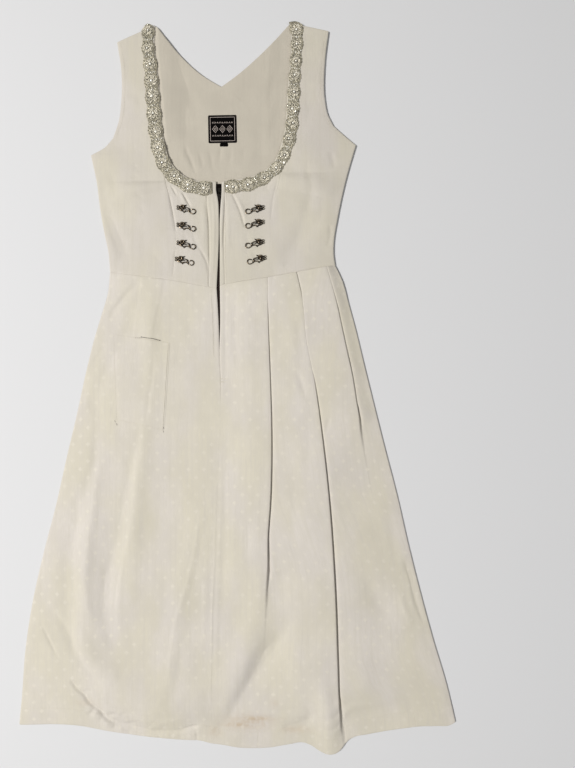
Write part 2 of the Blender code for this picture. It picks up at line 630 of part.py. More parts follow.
def make_braid(name, points):
    """A strip of braid on the front's points, with rosettes raised in its upper side."""
    length = float(np.sum(np.linalg.norm(np.diff(np.array(points, float), axis=0), axis=1)))
    pitches = round(length / ROSETTE_PITCH)
    steps = pitches * STEPS_PER_ROSETTE
    middle = walk(points, np.linspace(0, 1, steps + 1))
    ahead = np.gradient(middle, axis=0)
    ahead /= np.linalg.norm(ahead, axis=1, keepdims=True)
    aside = np.column_stack([-ahead[:, 1], ahead[:, 0]])
    run = np.arange(steps + 1) / STEPS_PER_ROSETTE - 0.5
    off_rosette = (run - np.round(run)) * ROSETTE_PITCH
    half = BRAID_HALF_WIDTH + BRAID_SCALLOP * np.cos(2 * math.pi * run)
    points_out = []
    for offsets, rise in (((-1, 0, 1), 0), ((-1, -0.5, 0, 0.5, 1), BRAID_THICK)):
        for i in range(steps + 1):
            for share in offsets:
                spot = middle[i] + aside[i] * half[i] * share
                height = float(front_top(*spot)) + BRAID_CLEAR + rise
                if rise:
                    away = math.hypot(off_rosette[i], half[i] * share) / ROSETTE_RADIUS
                    height += ROSETTE_HEIGHT * math.sqrt(max(1 - away**2, 0))
                points_out.append((*spot, height))
    top = 3 * (steps + 1)
    faces = []
    for i in range(steps):
        for columns, begin in ((3, 0), (5, top)):
            for j in range(columns - 1):
                first = begin + i * columns + j
                faces.append((first, first + columns, first + columns + 1, first + 1))
        low, high = 3 * i, top + 5 * i
        faces.append((low, low + 3, high + 5, high))
        faces.append((low + 2, low + 5, high + 9, high + 4))
    for i in (0, steps):
        low, high = 3 * i, top + 5 * i
        faces.append((low, low + 1, low + 2, high + 4, high + 3, high + 2, high + 1, high))
    made = add_object(name, world(points_out), faces, "silver_braid", sharp=80)
    face_outward(made)


def face_outward(made):
    shape = bmesh.new()
    shape.from_mesh(made.data)
    bmesh.ops.recalc_face_normals(shape, faces=shape.faces[:])
    shape.to_mesh(made.data)
    shape.free()


def hook_mesh(name, mirror):
    """One hook as a flat-bottomed sweep, from its sewing loop round to the end of its ring."""
    frames = [(row.along, 0.0, 0.0, row.up, row.down, row.thick) for row in HOOK_STATIONS]
    for i in range(HOOK_RING_STEPS + 1):
        turn = math.radians(HOOK_RING_START + HOOK_RING_TURN * i / HOOK_RING_STEPS)
        frames.append((HOOK_RING_X + HOOK_RING_RADIUS * math.cos(turn),
                       HOOK_RING_Y + HOOK_RING_RADIUS * math.sin(turn),
                       turn + math.pi / 2, HOOK_RING_WIRE, HOOK_RING_WIRE, 2 * HOOK_RING_WIRE))
    points = []
    for x, y, heading, up, down, thick in frames:
        for share, height in ((1.0, 0.3), (0.5, 1.0), (-0.5, 1.0), (-1.0, 0.3), (-0.6, 0.0), (0.6, 0.0)):
            reach = share * (up if share > 0 else down)
            points.append((mirror * (x - reach * math.sin(heading) - HOOK_MIDDLE) * MM,
                           (y + reach * math.cos(heading)) * MM, height * thick * MM))
    faces = [tuple(range(6)), tuple(range(len(points) - 6, len(points)))]
    for ring in range(len(frames) - 1):
        for side in range(6):
            after = (side + 1) % 6
            faces.append((6 * ring + side, 6 * ring + after, 6 * ring + 6 + after, 6 * ring + 6 + side))
    made = add_object(name, points, faces, "antique_metal", sharp=50)
    face_outward(made)
    return made


def make_hooks():
    """Each hook lies just clear of the highest cloth under its length and width."""
    for side, spots, mirror in (("left", HOOKS_LEFT, 1), ("right", HOOKS_RIGHT, -1)):
        shared = None
        for number, spot in enumerate(spots, 1):
            name = f"hook_{side}_{number}"
            if shared is None:
                made = hook_mesh(name, mirror)
                shared = made.data
            else:
                made = bpy.data.objects.new(name, shared)
                bpy.context.scene.collection.objects.link(made)
            around = [front_top(spot.x + dx, spot.y + dy) for dx in HOOK_ALONG for dy in HOOK_ACROSS]
            made.location = world((spot.x, spot.y, float(max(around)) + GAP))
            made.rotation_euler = (0, 0, -mirror * math.radians(HOOK_TILT))


def box_points(x0, x1, y0, y1, z0, z1):
    return [(x, y, z) for z in (z0, z1) for y in (y0, y1) for x in (x0, x1)]


BOX_FACES = [(0, 2, 3, 1), (4, 5, 7, 6), (0, 1, 5, 4), (2, 6, 7, 3), (0, 4, 6, 2), (1, 3, 7, 5)]


def make_label():
    """The woven label and its size tab, on the lining below the back neck."""
    bottom = LINING_BOTTOM + LINING + GAP
    left = LABEL_CENTRE.x - LABEL_WIDTH / 2
    low = LABEL_CENTRE.y - LABEL_HEIGHT / 2
    points = box_points(left, left + LABEL_WIDTH, low, low + LABEL_HEIGHT, bottom, bottom + LABEL_THICK)
    add_object("label", world(points), BOX_FACES, "label_satin")
    middle = LABEL_CENTRE.x + SIZE_TAB_ASIDE
    points = box_points(middle - SIZE_TAB_WIDTH / 2, middle + SIZE_TAB_WIDTH / 2,
                        low - GAP - SIZE_TAB_HEIGHT,
                        low - GAP, bottom, bottom + LABEL_THICK)
    add_object("size_tab", world(points), BOX_FACES, "label_satin")


def slit_middle(y):
    left = side_x(y, SLIT_LEFT, CENTRE_SEAM_LEFT[:3])
    right = side_x(y, SLIT_RIGHT, CENTRE_SEAM_RIGHT[:3])
    return (left + right) / 2


def make_zip():
    """The tape under both edges of the slit, with the closed chain raised along its middle."""
    chain_top = SLIDER_Y - SLIDER_LENGTH / 2 - CHAIN_CLEAR
    spans = [ZIP_TOP, chain_top + CHAIN_STEP] + list(np.linspace(chain_top, ZIP_BOTTOM, ZIP_ROWS))
    offsets = (-ZIP_TAPE_HALF, -ZIP_CHAIN_HALF, ZIP_CHAIN_HALF, ZIP_TAPE_HALF)
    plan = np.array([[(slit_middle(y) + offset, y) for offset in offsets] for y in spans], float)
    lower, upper = raised(plan, BODICE_BOTTOM, ZIP_TAPE)
    chain = np.abs(np.tile(offsets, len(spans))) < ZIP_TAPE_HALF
    chain &= upper[:, 1] <= chain_top
    upper[chain, 2] += ZIP_CHAIN_RISE
    closed_wall("zip_tape", lower, upper, grid_quads(len(spans), 4), "zip_dark")


def make_slider():
    """The slider's body, with the bridge that the tab hangs on, joined by a union."""
    bottom = BODICE_BOTTOM + ZIP_TAPE + SLIDER_CLEAR
    top = bottom + SLIDER_THICK
    half = SLIDER_WIDTH / 2
    points = box_points(SLIDER_X - half, SLIDER_X + half, SLIDER_Y - SLIDER_LENGTH / 2,
                        SLIDER_Y + SLIDER_LENGTH / 2, bottom, top)
    body = add_object("zip_slider", world(points), BOX_FACES, "antique_metal")
    outer = [(-4.0, -0.4), (-4.0, BRIDGE_RISE - 0.8), (-3.2, BRIDGE_RISE), (3.0, BRIDGE_RISE),
             (3.8, BRIDGE_RISE - 0.8),
             (3.8, 1.1)]
    inner = [(2.9, 1.1), (2.9, BRIDGE_RISE - BRIDGE_WALL), (-3.1, BRIDGE_RISE - BRIDGE_WALL), (-3.1, -0.4)]
    profile = [(SLIDER_Y - along, top + up) for along, up in outer + inner]
    count = len(profile)
    points = [(SLIDER_X + side * BRIDGE_WIDTH / 2, y, z) for side in (-1, 1) for y, z in profile]
    faces = [tuple(range(count)), tuple(range(2 * count - 1, count - 1, -1))]
    faces += [(i, i + count, (i + 1) % count + count, (i + 1) % count) for i in range(count)]
    bridge = add_object("slider_bridge_piece", world(points), faces, "antique_metal")
    face_outward(bridge)
    bridge.hide_render = True
    bridge.display_type = "WIRE"
    union = body.modifiers.new("bridge", "BOOLEAN")
    union.operation = "UNION"
    union.object = bridge
    return top


def make_tab(slider_top):
    """The pull tab, hanging on a bar under the bridge. Its origin is on the hinge's axis."""
    bar = 0.5
    arm_inner = BRIDGE_WIDTH / 2 + 0.5
    half = TAB_WIDTH / 2
    outline = [(-half, bar), (-half, -TAB_LENGTH + 1.5), (-half + 1.2, -TAB_LENGTH),
               (half - 1.2, -TAB_LENGTH),
               (half, -TAB_LENGTH + 1.5), (half, bar)]
    hole = [(-arm_inner, -bar), (-arm_inner, -TAB_EYE), (arm_inner, -TAB_EYE), (arm_inner, -bar)]
    points = [(x * MM, y * MM, z * TAB_THICK / 2 * MM) for z in (-1, 1) for x, y in outline + hole]
    count = len(outline) + len(hole)
    ring = [(0, 1, 7, 6), (1, 2, 3, 4, 8, 7), (4, 5, 9, 8), (5, 0, 6, 9)]
    faces = [tuple(reversed(face)) for face in ring]
    faces += [tuple(index + count for index in face) for face in ring]
    loops = [(0, 1, 2, 3, 4, 5), (6, 9, 8, 7)]
    for loop in loops:
        for i, first in enumerate(loop):
            second = loop[(i + 1) % len(loop)]
            faces.append((first, second, second + count, first + count))
    tab = add_object("zip_pull_tab", points, faces, "antique_metal")
    face_outward(tab)
    height = slider_top + (BRIDGE_RISE - BRIDGE_WALL) / 2
    tab.location = world((SLIDER_X, SLIDER_Y - 1.0, height))


def main():
    clear_scene()
    make_back_bodice()
    make_back_skirt()
    make_front_bodice()
    make_front_skirt_left()
    make_front_skirt_right()
    make_pocket()
    make_braid("braid_left", BRAID_LEFT)
    make_braid("braid_right", BRAID_RIGHT)
    make_hooks()
    make_label()
    make_zip()
    make_tab(make_slider())


main()
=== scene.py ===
"""The looks of a dirndl dress that lies flat and face up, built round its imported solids.

All tables are in millimetres in the garment's frame: x from the centre front, y up from
the waist seam at the centre front, z up from the floor. Left and right are the viewer's.
world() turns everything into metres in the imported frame.

The outlines, broad folds and pleats are the solids' own, but for a closer centre seam.
The finer creases, the pleats' openings and the details of the trim are added here.
"""

import math
import random
from collections import namedtuple

import bmesh
import bpy
import numpy as np
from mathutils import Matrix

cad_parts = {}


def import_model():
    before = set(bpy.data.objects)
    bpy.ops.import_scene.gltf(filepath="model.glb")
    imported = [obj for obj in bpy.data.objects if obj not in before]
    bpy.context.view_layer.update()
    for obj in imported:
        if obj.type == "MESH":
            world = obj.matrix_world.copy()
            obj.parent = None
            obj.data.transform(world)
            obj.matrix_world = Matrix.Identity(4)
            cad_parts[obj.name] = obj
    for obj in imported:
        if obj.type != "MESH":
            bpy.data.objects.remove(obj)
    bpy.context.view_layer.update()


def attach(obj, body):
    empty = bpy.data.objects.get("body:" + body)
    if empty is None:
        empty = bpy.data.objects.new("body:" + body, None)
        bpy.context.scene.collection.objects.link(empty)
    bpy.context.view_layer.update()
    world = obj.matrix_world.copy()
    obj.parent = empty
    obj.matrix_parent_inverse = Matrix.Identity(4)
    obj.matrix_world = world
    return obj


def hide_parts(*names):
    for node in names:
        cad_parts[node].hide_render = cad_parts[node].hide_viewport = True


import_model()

MM = 0.001
BODY = "dress"
CENTRE_FRONT_X = -29.5
WAIST_Y = 170.5

# Walls and layers, in millimetres.
CLOTH = 1.2
LINING = 1.0
ZIP_TAPE = 0.9
GAP = 0.3
LINING_BOTTOM = CLOTH + GAP
BODICE_BOTTOM = LINING_BOTTOM + LINING + GAP
SKIRT_BOTTOM = CLOTH + GAP
# How much higher the front lies away from its side edges, and how far in it takes to rise.
LOFT = 3.0
LOFT_REACH = 30.0
# How far in from a side edge the folds and the finer creases reach their full height.
FOLD_REACH = 25
CREASE_REACH = 12
# How far the loft takes to die away at the shoulder and hem, and the share left of it at the hem.
END_REACH = 40
HEM_LOFT = 0.35
# How far below the waist seam the front comes down from the bodice's layers to the skirt's.
WAIST_REACH = 45
SHOULDER_Y = 432.0
HEM_Y = -750.0

Point = namedtuple("Point", "x y")
Fold = namedtuple("Fold", "start_x start_y mid_x mid_y end_x end_y width height")
Pleat = namedtuple("Pleat", "down x depth turn radius")
Crease = namedtuple("Crease", "line width height lean")


def curve(*numbers):
    """The points of a line, from their x and y in turn."""
    return [Point(x, y) for x, y in zip(numbers[::2], numbers[1::2])]


def crease_table(*rows):
    """Creases from rows of width, height, lean, then the x and y of each point of the line."""
    return [Crease(curve(*row[3:]), *row[:3]) for row in rows]


# The edges of the pieces, as in the solids.
ARMHOLE_LEFT = curve(-172, 410, -165, 363, -165, 312, -169, 279, -179, 249)
UNDERARM_LEFT = curve(-179, 249, -192, 234, -216, 220)
SIDE_LEFT = curve(-216, 220, -206, 173, -201, 133, -194, 92, -186, 52, -184, 24)
ARMHOLE_RIGHT = curve(183, 429, 177, 380, 177, 312, 181, 291, 191, 270)
UNDERARM_RIGHT = curve(191, 270, 211, 252, 229, 237)
SIDE_RIGHT = curve(229, 237, 216, 193, 206, 153, 198, 113, 192, 75, 191.5, 54, 194, 35)
BACK_NECK_LEFT = curve(-107, 438, -73, 395, -28, 354, 3, 336)
BACK_NECK_RIGHT = curve(117, 441, 75, 395, 28, 354, 3, 336)
CENTRE_BACK_X = 3
SCOOP_LEFT = curve(-109, 439, -109, 403, -105, 370, -101, 329, -98, 291, -94.5, 254, -90, 230)
SCOOP_LEFT_LOW = curve(-90, 230, -85, 214, -77, 201, -58, 184, -37, 176, -22, 175)
SCOOP_RIGHT = curve(117, 443, 121, 412, 119.5, 380, 116.5, 350, 113.5, 306, 110, 262, 102, 231)
SCOOP_RIGHT_LOW = curve(102, 231, 93, 210, 78, 195, 59, 185, 38, 179.5, 9, 176)
PRINCESS_LEFT = curve(-90, 230, -95, 206, -91, 179, -81, 136, -74, 92, -75, 52, -80, 10)
PRINCESS_RIGHT = curve(102, 231, 104, 197, 98, 165, 89, 133, 85, 77, 85, 15)
PLACKET_LEFT = curve(-22, 175, -21, 144, -18, 104, -17, 54, -18, -1)
PLACKET_RIGHT = curve(9, 176, 9, 144, 8, 104, 8, 54, 9, 3)
SLIT_LEFT = curve(-6, 175, -6, 161, -3, 146, -1.5, 114, -2, 60, -4, 18, -5, -3)
SLIT_RIGHT = curve(4, 174, 4, 161, 3, 146, 1, 114, 1, 60, 1, 18, 1, 1)
WAIST_LEFT = curve(-184, 24, -80, 10, -18, -1, -5, -3)
WAIST_RIGHT = curve(1, 1, 9, 3, 85, 15, 194, 35)
CENTRE_SEAM_LEFT = curve(-5, -3, -2, -57, 0, -118, 2.5, -160, -1, -276, -4, -360, -13, -623, -13, -771)
CENTRE_SEAM_RIGHT = curve(1, 1, 1.5, -57, 0.4, -118, 2.6, -160, -0.95, -276, -3.95, -360, -12.95, -623,
                          -12.95, -771)
SKIRT_SIDE_LEFT = curve(-184, 24, -187, -8, -199, -49, -211, -89, -226, -150, -239, -210, -258, -291,
                        -276, -371, -297, -452, -315, -533, -327, -613, -333, -694, -337, -738)
SKIRT_SIDE_RIGHT = curve(194, 35, 205, 12, 217, -29, 228, -69, 242.5, -129, 257.5, -190, 277.5, -270,
                         298.5, -351, 317, -432, 337, -512, 359, -593, 383, -674, 397, -734)
HEM_LEFT = curve(-337, -738, -243, -738, -184, -749, -117, -758, -50, -763.5, -34, -764, -13, -769)
HEM_RIGHT = curve(-13, -769, 4, -771, 34, -776, 85, -775.5, 120, -769.5, 140, -767, 155, -772.5, 168, -781,
                  186, -787, 201, -782, 211, -770, 218, -763, 226, -758.5, 248, -754, 292, -746,
                  335, -740.5, 365, -740, 389, -738.5, 397, -734)
BACK_SKIRT_INSET = 2.0
BACK_HEM = curve(-335, -734, -243, -734, -117, -752, 30, -762, 180, -758, 303, -740, 395, -730)
BACK_WAIST = curve(-184, 24, 3, 16, 194, 35)

FOLDS = [
    Fold(-134, 175, -134, 165, -130, 150, 48, 4.5),
    Fold(146, 190, 146, 175, 142, 155, 48, 4.5),
    Fold(152, 138, 135, 69, 102, 34, 16, -2.5),
    Fold(-192, 119, -176, 77, -159, 40, 14, -2.0),
    Fold(-113, -7, -123, -91, -113, -166, 14, 2.0),
    Fold(-209, -309, -238, -511, -221, -622, 17, 3.0),
    Fold(-243, -360, -268, -494, -243, -622, 14, -2.0),
    Fold(-172, -340, -199, -511, -182, -612, 15, -2.0),
    Fold(-120, -192, -142, -393, -152, -538, 15, 2.4),
    Fold(-225, -630, -125, -735, -20, -690, 30, 7.0),
    Fold(5, -700, 51, -610, 73, -500, 22, 3.6),
    Fold(124, -545, 78, -625, 14, -735, 17, -2.6),
    Fold(-38, -380, -64, -528, -94, -679, 16, 1.8),
    Fold(172, -660, 184, -720, 187, -790, 15, 4.0),
    Fold(125, -500, 128, -620, 135, -730, 20, 2.0),
    Fold(244, -486, 264, -525, 283, -564, 14, -2.0),
]
PLEATS = [
    [Pleat(0, 81, 22, 180, 0.9), Pleat(60, 81.5, 24, 180, 1.2), Pleat(170, 85, 26, 180, 1.3),
     Pleat(240, 87, 26, 180, 1.3), Pleat(370, 85, 18, 180, 1.4), Pleat(430, 81, 8, 180, 1.4),
     Pleat(470, 81, 3.6, 145, 1.5), Pleat(492, 80.5, 0, 85, 2.4), Pleat(514, 79.5, 0, 48, 4.4),
     Pleat(542, 78, 0, 22, 8), Pleat(578, 76, 0, 7, 12), Pleat(640, 71, 0, 3, 12),
     Pleat(770, 62, 0, 1.5, 12)],
    [Pleat(0, 129, 20, 180, 0.9), Pleat(46, 139, 22, 180, 1.1), Pleat(113, 146, 20, 180, 1.2),
     Pleat(180, 159, 20, 180, 1.2), Pleat(250, 169, 20, 180, 1.5), Pleat(385, 184, 20, 180, 1.7),
     Pleat(520, 193, 20, 180, 1.7), Pleat(650, 198, 16, 180, 1.6), Pleat(690, 199.5, 9, 180, 1.6),
     Pleat(712, 201, 3.6, 140, 1.6), Pleat(730, 203, 0, 80, 2.6), Pleat(748, 206, 0, 34, 6),
     Pleat(770, 209, 0, 12, 10)],
    [Pleat(0, 180, 16, 180, 0.9), Pleat(56, 195, 18, 180, 1.1), Pleat(125, 210, 18, 180, 1.2),
     Pleat(190, 224, 16, 180, 1.3), Pleat(228, 230, 8, 180, 1.3), Pleat(246, 233, 3.6, 140, 1.4),
     Pleat(262, 235.5, 0, 80, 2.4), Pleat(280, 238, 0, 42, 4.6), Pleat(306, 242, 0, 17, 8),
     Pleat(345, 249, 0, 6, 11), Pleat(400, 259, 0, 3, 12), Pleat(770, 330, 0, 1.5, 12)],
]
# How far each pleat's folded edge stands open over the layer below it, by distance down, and
# how high that layer puffs up beside it, as a share of the fold's own height.
# Reach is how far from the gap that puffing takes.
Opening = namedtuple("Opening", "down width rise reach")
PLEAT_OPENINGS = [
    [Opening(0, 0, 1.0, 0.5), Opening(36, 0, 1.0, 0.5), Opening(60, 0.4, 0.8, 1.0),
     Opening(110, 0.6, 0.7, 1.4),
     Opening(200, 0.9, 0.62, 1.7), Opening(270, 2.0, 0.6, 1.7), Opening(370, 2.6, 0.55, 1.7),
     Opening(430, 2.6, 0.5, 1.7), Opening(480, 1.8, 0.5, 1.7), Opening(770, 1.0, 0.6, 1.7)],
    [Opening(0, 0.4, 0.8, 1.2), Opening(30, 0.4, 0.8, 1.2), Opening(50, 0, 1.0, 0.45),
     Opening(165, 0, 1.0, 0.45),
     Opening(190, 0.5, 0.8, 1.4), Opening(225, 1.0, 0.66, 1.7), Opening(290, 1.4, 0.62, 1.7),
     Opening(380, 2.2, 0.55, 1.7), Opening(520, 3.0, 0.45, 1.7), Opening(650, 3.2, 0.4, 1.7),
     Opening(770, 1.6, 0.5, 1.7)],
    [Opening(0, 0, 1.0, 0.5), Opening(40, 0.1, 0.95, 0.7), Opening(70, 0.6, 0.75, 1.4),
     Opening(160, 0.8, 0.66, 1.7), Opening(230, 0.6, 0.66, 1.5), Opening(260, 0.4, 0.6, 1.7),
     Opening(770, 0.4, 0.6, 1.7)],
]
SKIRT_LENGTH = 770.0
LEAST_RETURN = 0.6

# The finer creases of the bodice. Lean is how much gentler a crease is on the right of its
# line, seen along it as it runs down, than on the left.
BODICE_CREASES = crease_table(
    (1.8, -1.3, 0.2, -81, 167, -77, 161, -72, 151),
    (1.6, -2.2, 0.2, -62, 156, -55, 144, -48, 131),
    (3.0, 0.8, 0, -67, 158, -60, 146, -57, 134),
    (2.3, -1.4, 0, -84, 154, -81, 136, -77, 114, -73, 90),
    (2.2, -0.6, 0, -74, 60, -76, 40, -79, 14),
    (2.4, -1.2, 0.1, -35, 66, -28, 54, -22, 42, -18, 20),
    (2.0, -1.3, 0, -24, 146, -19, 114, -17.5, 70, -17, 36),
    (2.2, 0.6, 0, -12, 152, -9, 120, -9, 70, -11, 20),
    (3.2, 0.5, 0, -28, 140, -26, 100, -27, 60),
    (4, -0.6, 0, -44, 92, -40, 74, -34, 60),
    (4, -0.4, 0, -60, 84, -52, 76, -46, 62),
    (8, -0.9, 0, -187, 119, -172, 84, -155, 50),
    (6, -0.6, 0, -185, 196, -178, 168, -179, 138),
    (4, -0.5, 0, -144, 203, -136, 194),
    (4, -0.5, 0, -148, 181, -136, 185),
    (4.5, -0.6, 0, -142, 156, -128, 148),
    (4.5, -0.5, 0, -134, 136, -124, 119),
    (8, -0.5, 0, -152, 330, -138, 318, -128, 300),
    (1.6, -2.1, -0.2, 21, 156, 28, 142, 34, 129),
    (1.6, -2.2, -0.2, 31, 136, 37, 120, 43, 98),
    (3.0, 0.9, 0, 30, 148, 38, 130, 45, 110),
    (1.8, -1.4, 0, 10, 150, 9, 118, 7, 84, 6.5, 64),
    (1.6, 0.5, 0, 5, 150, 4.6, 118, 4, 70, 5, 30),
    (3.0, 0.5, 0, 16, 120, 15, 90, 17, 60),
    (4, -0.6, 0, 86, 186, 80, 172, 78, 158),
    (2.2, -0.6, 0, 98, 178, 89, 140, 86, 110),
    (4, -0.5, 0, 44, 90, 48, 74, 46, 50),
    (4, -0.4, 0, 52, 60, 60, 50, 68, 30),
    (7, -0.9, 0, 144, 208, 154, 161, 145, 124),
    (5, -0.9, 0, 187, 225, 193, 198),
    (9, -0.9, 0, 178, 150, 166, 112, 140, 76),
    (4, -1.3, 0, 186, 103, 188, 85, 183, 66),
    (6, -0.6, 0, 150, 60, 128, 44, 106, 36),
    (9, -0.5, 0, 140, 330, 150, 300, 146, 268),
    (6, -0.4, 0, -116, 60, -104, 44, -88, 34),
)
# The creases that run close to the skirt's centre seam, or over it.
CENTRE_CREASES = crease_table(
    (8, 1.0, 0.5, -30, -370, -36, -410, -44, -460, -56, -510, -72, -560, -80, -610, -86, -665),
    (9, -0.8, -0.2, -26, -392, -36, -440, -42, -482, -54, -522, -68, -560, -76, -600, -84, -630),
    (9, -0.8, 0, -66, -610, -70, -650, -78, -684, -94, -706),
    (4, 0.35, 0, -24, -485, -38, -492),
    (5, 0.35, 0, -48, -592, -62, -600),
    (2.0, 0.35, 0, -7, -400, -8, -460, -12, -540, -14, -640, -16, -720),
    (5, 0.4, 0, -22, -420, -24, -520, -28, -620),
    (2.0, 0.35, 0, 3, -300, 2, -400, -2, -470, -4, -560, -6, -660),
    (5, -0.4, 0, 10, -300, 9, -420, 4, -540, 2, -650),
    (8.5, -1.2, -0.3, 120, -561, 105, -591, 93, -603, 78, -618, 65, -642, 51, -667, 34, -690, 21, -716,
     4, -736, -9, -749),
)
# The creases of the left front of the skirt.
SKIRT_LEFT_CREASES = CENTRE_CREASES + crease_table(
    (5, -1.3, 0.1, -134, 6, -156, -14, -173, -35, -187, -54),
    (10, -0.9, 0.1, -146, -44, -164, -91, -179, -116, -194, -150, -209, -188, -213, -217),
    (4, -0.5, 0, -187, -91, -204, -116, -218, -134),
    (10, -1.2, 0.2, -209, -192, -206, -234, -209, -287, -223, -338, -234, -393, -248, -427),
    (6.5, 0.9, 0.2, -198, -285, -206, -325, -213, -380, -219, -429, -225, -483, -221, -531, -211, -573),
    (8, -0.8, 0.2, -226, -320, -238, -357, -244, -429, -245, -483, -238, -543, -223, -585),
    (3.0, -0.8, -0.2, -110, -114, -112.5, -150, -118, -188, -124, -232),
    (10, -1.2, 0.2, -124, -205, -133, -245, -149, -309, -161, -365, -171, -425, -184, -470, -195, -528,
     -188, -583, -172, -618),
    (7, 0.85, 0.3, -121, -190, -130, -255, -142, -333, -148, -405, -158, -450, -168, -505, -170, -560,
     -160, -600),
    (3, -0.4, 0, -165, -466, -172, -500, -178, -545),
    (2.6, -1.0, 0, -301, -566, -285, -598, -270, -628),
    (7.5, -1.6, -0.2, -285, -541, -270, -561, -254, -583, -243, -611, -226, -640, -209, -657, -194, -670),
    (12, 1.2, 0, -243, -560, -228, -596, -205, -632, -170, -660),
    (2.6, -2.6, -0.3, -249, -662, -236, -679, -228, -685, -218, -700, -207, -709),
    (2.4, -3.2, -0.3, -215, -703, -199, -714, -188, -727, -172, -732),
    (2.8, -2.8, -0.3, -182, -730, -158, -741, -135, -743, -113, -749, -94, -747),
    (2.4, -2.0, -0.3, -106, -749, -70, -747, -50, -741, -33, -737),
    (2.6, -0.9, 0, -230, -684, -222, -679, -213, -681),
    (2.8, -1.1, 0, -190, -726, -181, -719, -170, -718),
    (2.6, -0.8, 0, -208, -708, -214, -716, -225, -720),
    (3.2, -0.8, 0, -161, -741, -148, -734, -134, -732),
    (2.6, -0.8, 0, -137, -744, -122, -753, -112, -757),
    (2.6, -0.6, 0, -84, -747, -74, -756, -62, -760),
    (5, 0.9, 0, -204, -722, -194, -733, -180, -741),
    (4, 0.6, 0, -128, -736, -112, -741, -96, -739),
    (4, 0.7, 0, -60, -750, -46, -753, -32, -749),
    (8, 1.6, -0.2, -240, -668, -215, -682, -190, -702, -150, -722, -100, -731, -50, -724),
    (2.6, -0.7, 0, -238, -700, -222, -708, -206, -714),
    (3, -0.9, 0, -190, -727, -160, -738, -130, -750),
    (2.4, -0.9, 0, -40, -745, -38, -757, -40, -768),
    (8, -1.5, 0.3, -240, -664, -224, -690, -205, -709, -186, -724, -165, -735, -135, -743, -100, -748,
     -65, -746, -36, -738),
    (2.8, -0.8, 0, -212, -711, -219, -722),
    (3.2, 0.7, 0, -204, -715, -211, -728),
    (3.0, -0.9, 0, -195, -721, -203, -734),
    (2.6, 0.6, 0, -184, -729, -191, -740),
    (3.2, -0.8, 0, -174, -734, -179, -745),
    (2.8, 0.7, 0, -163, -740, -166, -750),
    (3.4, -0.9, 0, -150, -743, -155, -755),
    (3.0, 0.6, 0, -118, -750, -119, -761),
    (3.0, -0.8, 0, -103, -751, -101, -762),
    (2.6, 0.5, 0, -89, -749, -86, -761),
    (3.2, -0.7, 0, -68, -748, -64, -762),
    (3.6, -0.5, 0, -168, -724, -158, -716, -146, -714),
    (3.6, -0.5, 0, -120, -738, -106, -730, -92, -730),
    (12, -0.5, 0, -66, -90, -72, -130, -70, -175),
    (9, -0.5, 0, -40, -60, -34, -90),
    (14, -0.6, 0, -62, -210, -54, -250, -58, -296),
    (16, -0.6, 0, -92, -330, -100, -400, -108, -470),
    (2.2, -0.3, 0, -11, -10, -9, -60, -8, -115),
)
# The creases of the right front of the skirt.
SKIRT_RIGHT_CREASES = CENTRE_CREASES + crease_table(
    (2.2, -0.5, 0, 11, -8, 10, -60, 10, -130, 9, -165),
    (5, -0.7, 0, 28, -10, 26, -80, 31, -140),
    (9, -0.7, 0, 56, -34, 60, -60),
    (9, 0.7, 0, 28, -330, 24, -430, 30, -520),
    (7, -0.6, 0, 52, -380, 48, -450, 56, -500),
    (12, 0.9, 0, 68, -590, 51, -617, 43, -640, 36, -670, 21, -695, 6, -726),
    (2.4, -0.7, 0, 96, -600, 84, -612, 76, -620),
    (16, 0.7, 0, 86, -690, 100, -692, 112, -700),
    (2.2, -0.8, 0, 32, -722, 65, -724, 98, -724),
    (8, -2.4, 0.2, 108, -743, 130, -740, 149, -729, 157, -709),
    (8, -0.8, 0, 132, -56, 137, -100, 136, -140),
    (6, -1.2, 0, 130, -142, 139, -167, 147, -192),
    (8, -0.7, 0, 142, -210, 150, -260, 148, -320),
    (3, -0.9, 0, 185, -222, 181, -234, 179, -246),
    (10, -0.6, 0, 120, -300, 126, -380, 122, -450),
    (5, -1.4, 0.2, 310, -460, 322, -490, 330, -530, 344, -566),
    (6, 0.9, 0, 301, -510, 312, -545, 323, -570),
    (9, -0.6, 0, 286, -380, 292, -430, 300, -470),
    (14, 0.8, 0, 236, -610, 244, -660, 240, -705),
    (14, -0.7, 0, 300, -640, 312, -690, 330, -720),
)
# The creases of the back's lining, which show through the neck.
LINING_CREASES = crease_table(
    (2.6, -1.3, 0.3, -59, 236, -55, 224, -49, 211, -44, 199, -40, 188),
    (5, 0.6, 0, -66, 232, -60, 216, -52, 200),
    (3.0, -0.9, 0.2, -35, 224, -31, 212, -28, 199),
    (3.0, -0.8, 0, -16, 228, -14, 212, -12, 196),
    (3.4, -0.8, 0, 2, 236, 1, 222, -2, 206),
    (4, -0.5, 0, 20, 232, 17, 216, 17, 200),
    (11, -1.1, 0, -84, 366, -66, 340, -48, 310, -34, 284),
    (12, -0.8, 0, -94, 330, -78, 306, -64, 280),
    (8, -0.8, 0, -90, 290, -84, 262, -72, 240),
    (8, -1.0, 0, 98, 366, 90, 336, 84, 300),
    (12, -0.7, 0, 70, 360, 52, 334, 34, 312),
    (9, -0.9, 0, 62, 268, 70, 240, 64, 212),
    (7, -0.7, 0, 96, 290, 90, 262, 82, 238),
    (8, -0.6, 0, 34, 246, 40, 222, 36, 200),
    (14, -0.5, 0, -30, 340, -6, 322, 20, 318),
)
CREASE_STEPS = 20

# The pressed pleat on the left front, from its two edges.
STRIP_LEFT_EDGE = curve(-134, 6, -140, -32, -144, -57, -147, -79, -150, -100)
STRIP_RIGHT_EDGE = curve(-91, 8, -98, -24, -107, -67, -110, -90, -110, -100)
STRIP_RISE = 0.45
STRIP_EDGE = 5.5
STRIP_START = 12
STRIP_END = -118
STRIP_FADE = 50

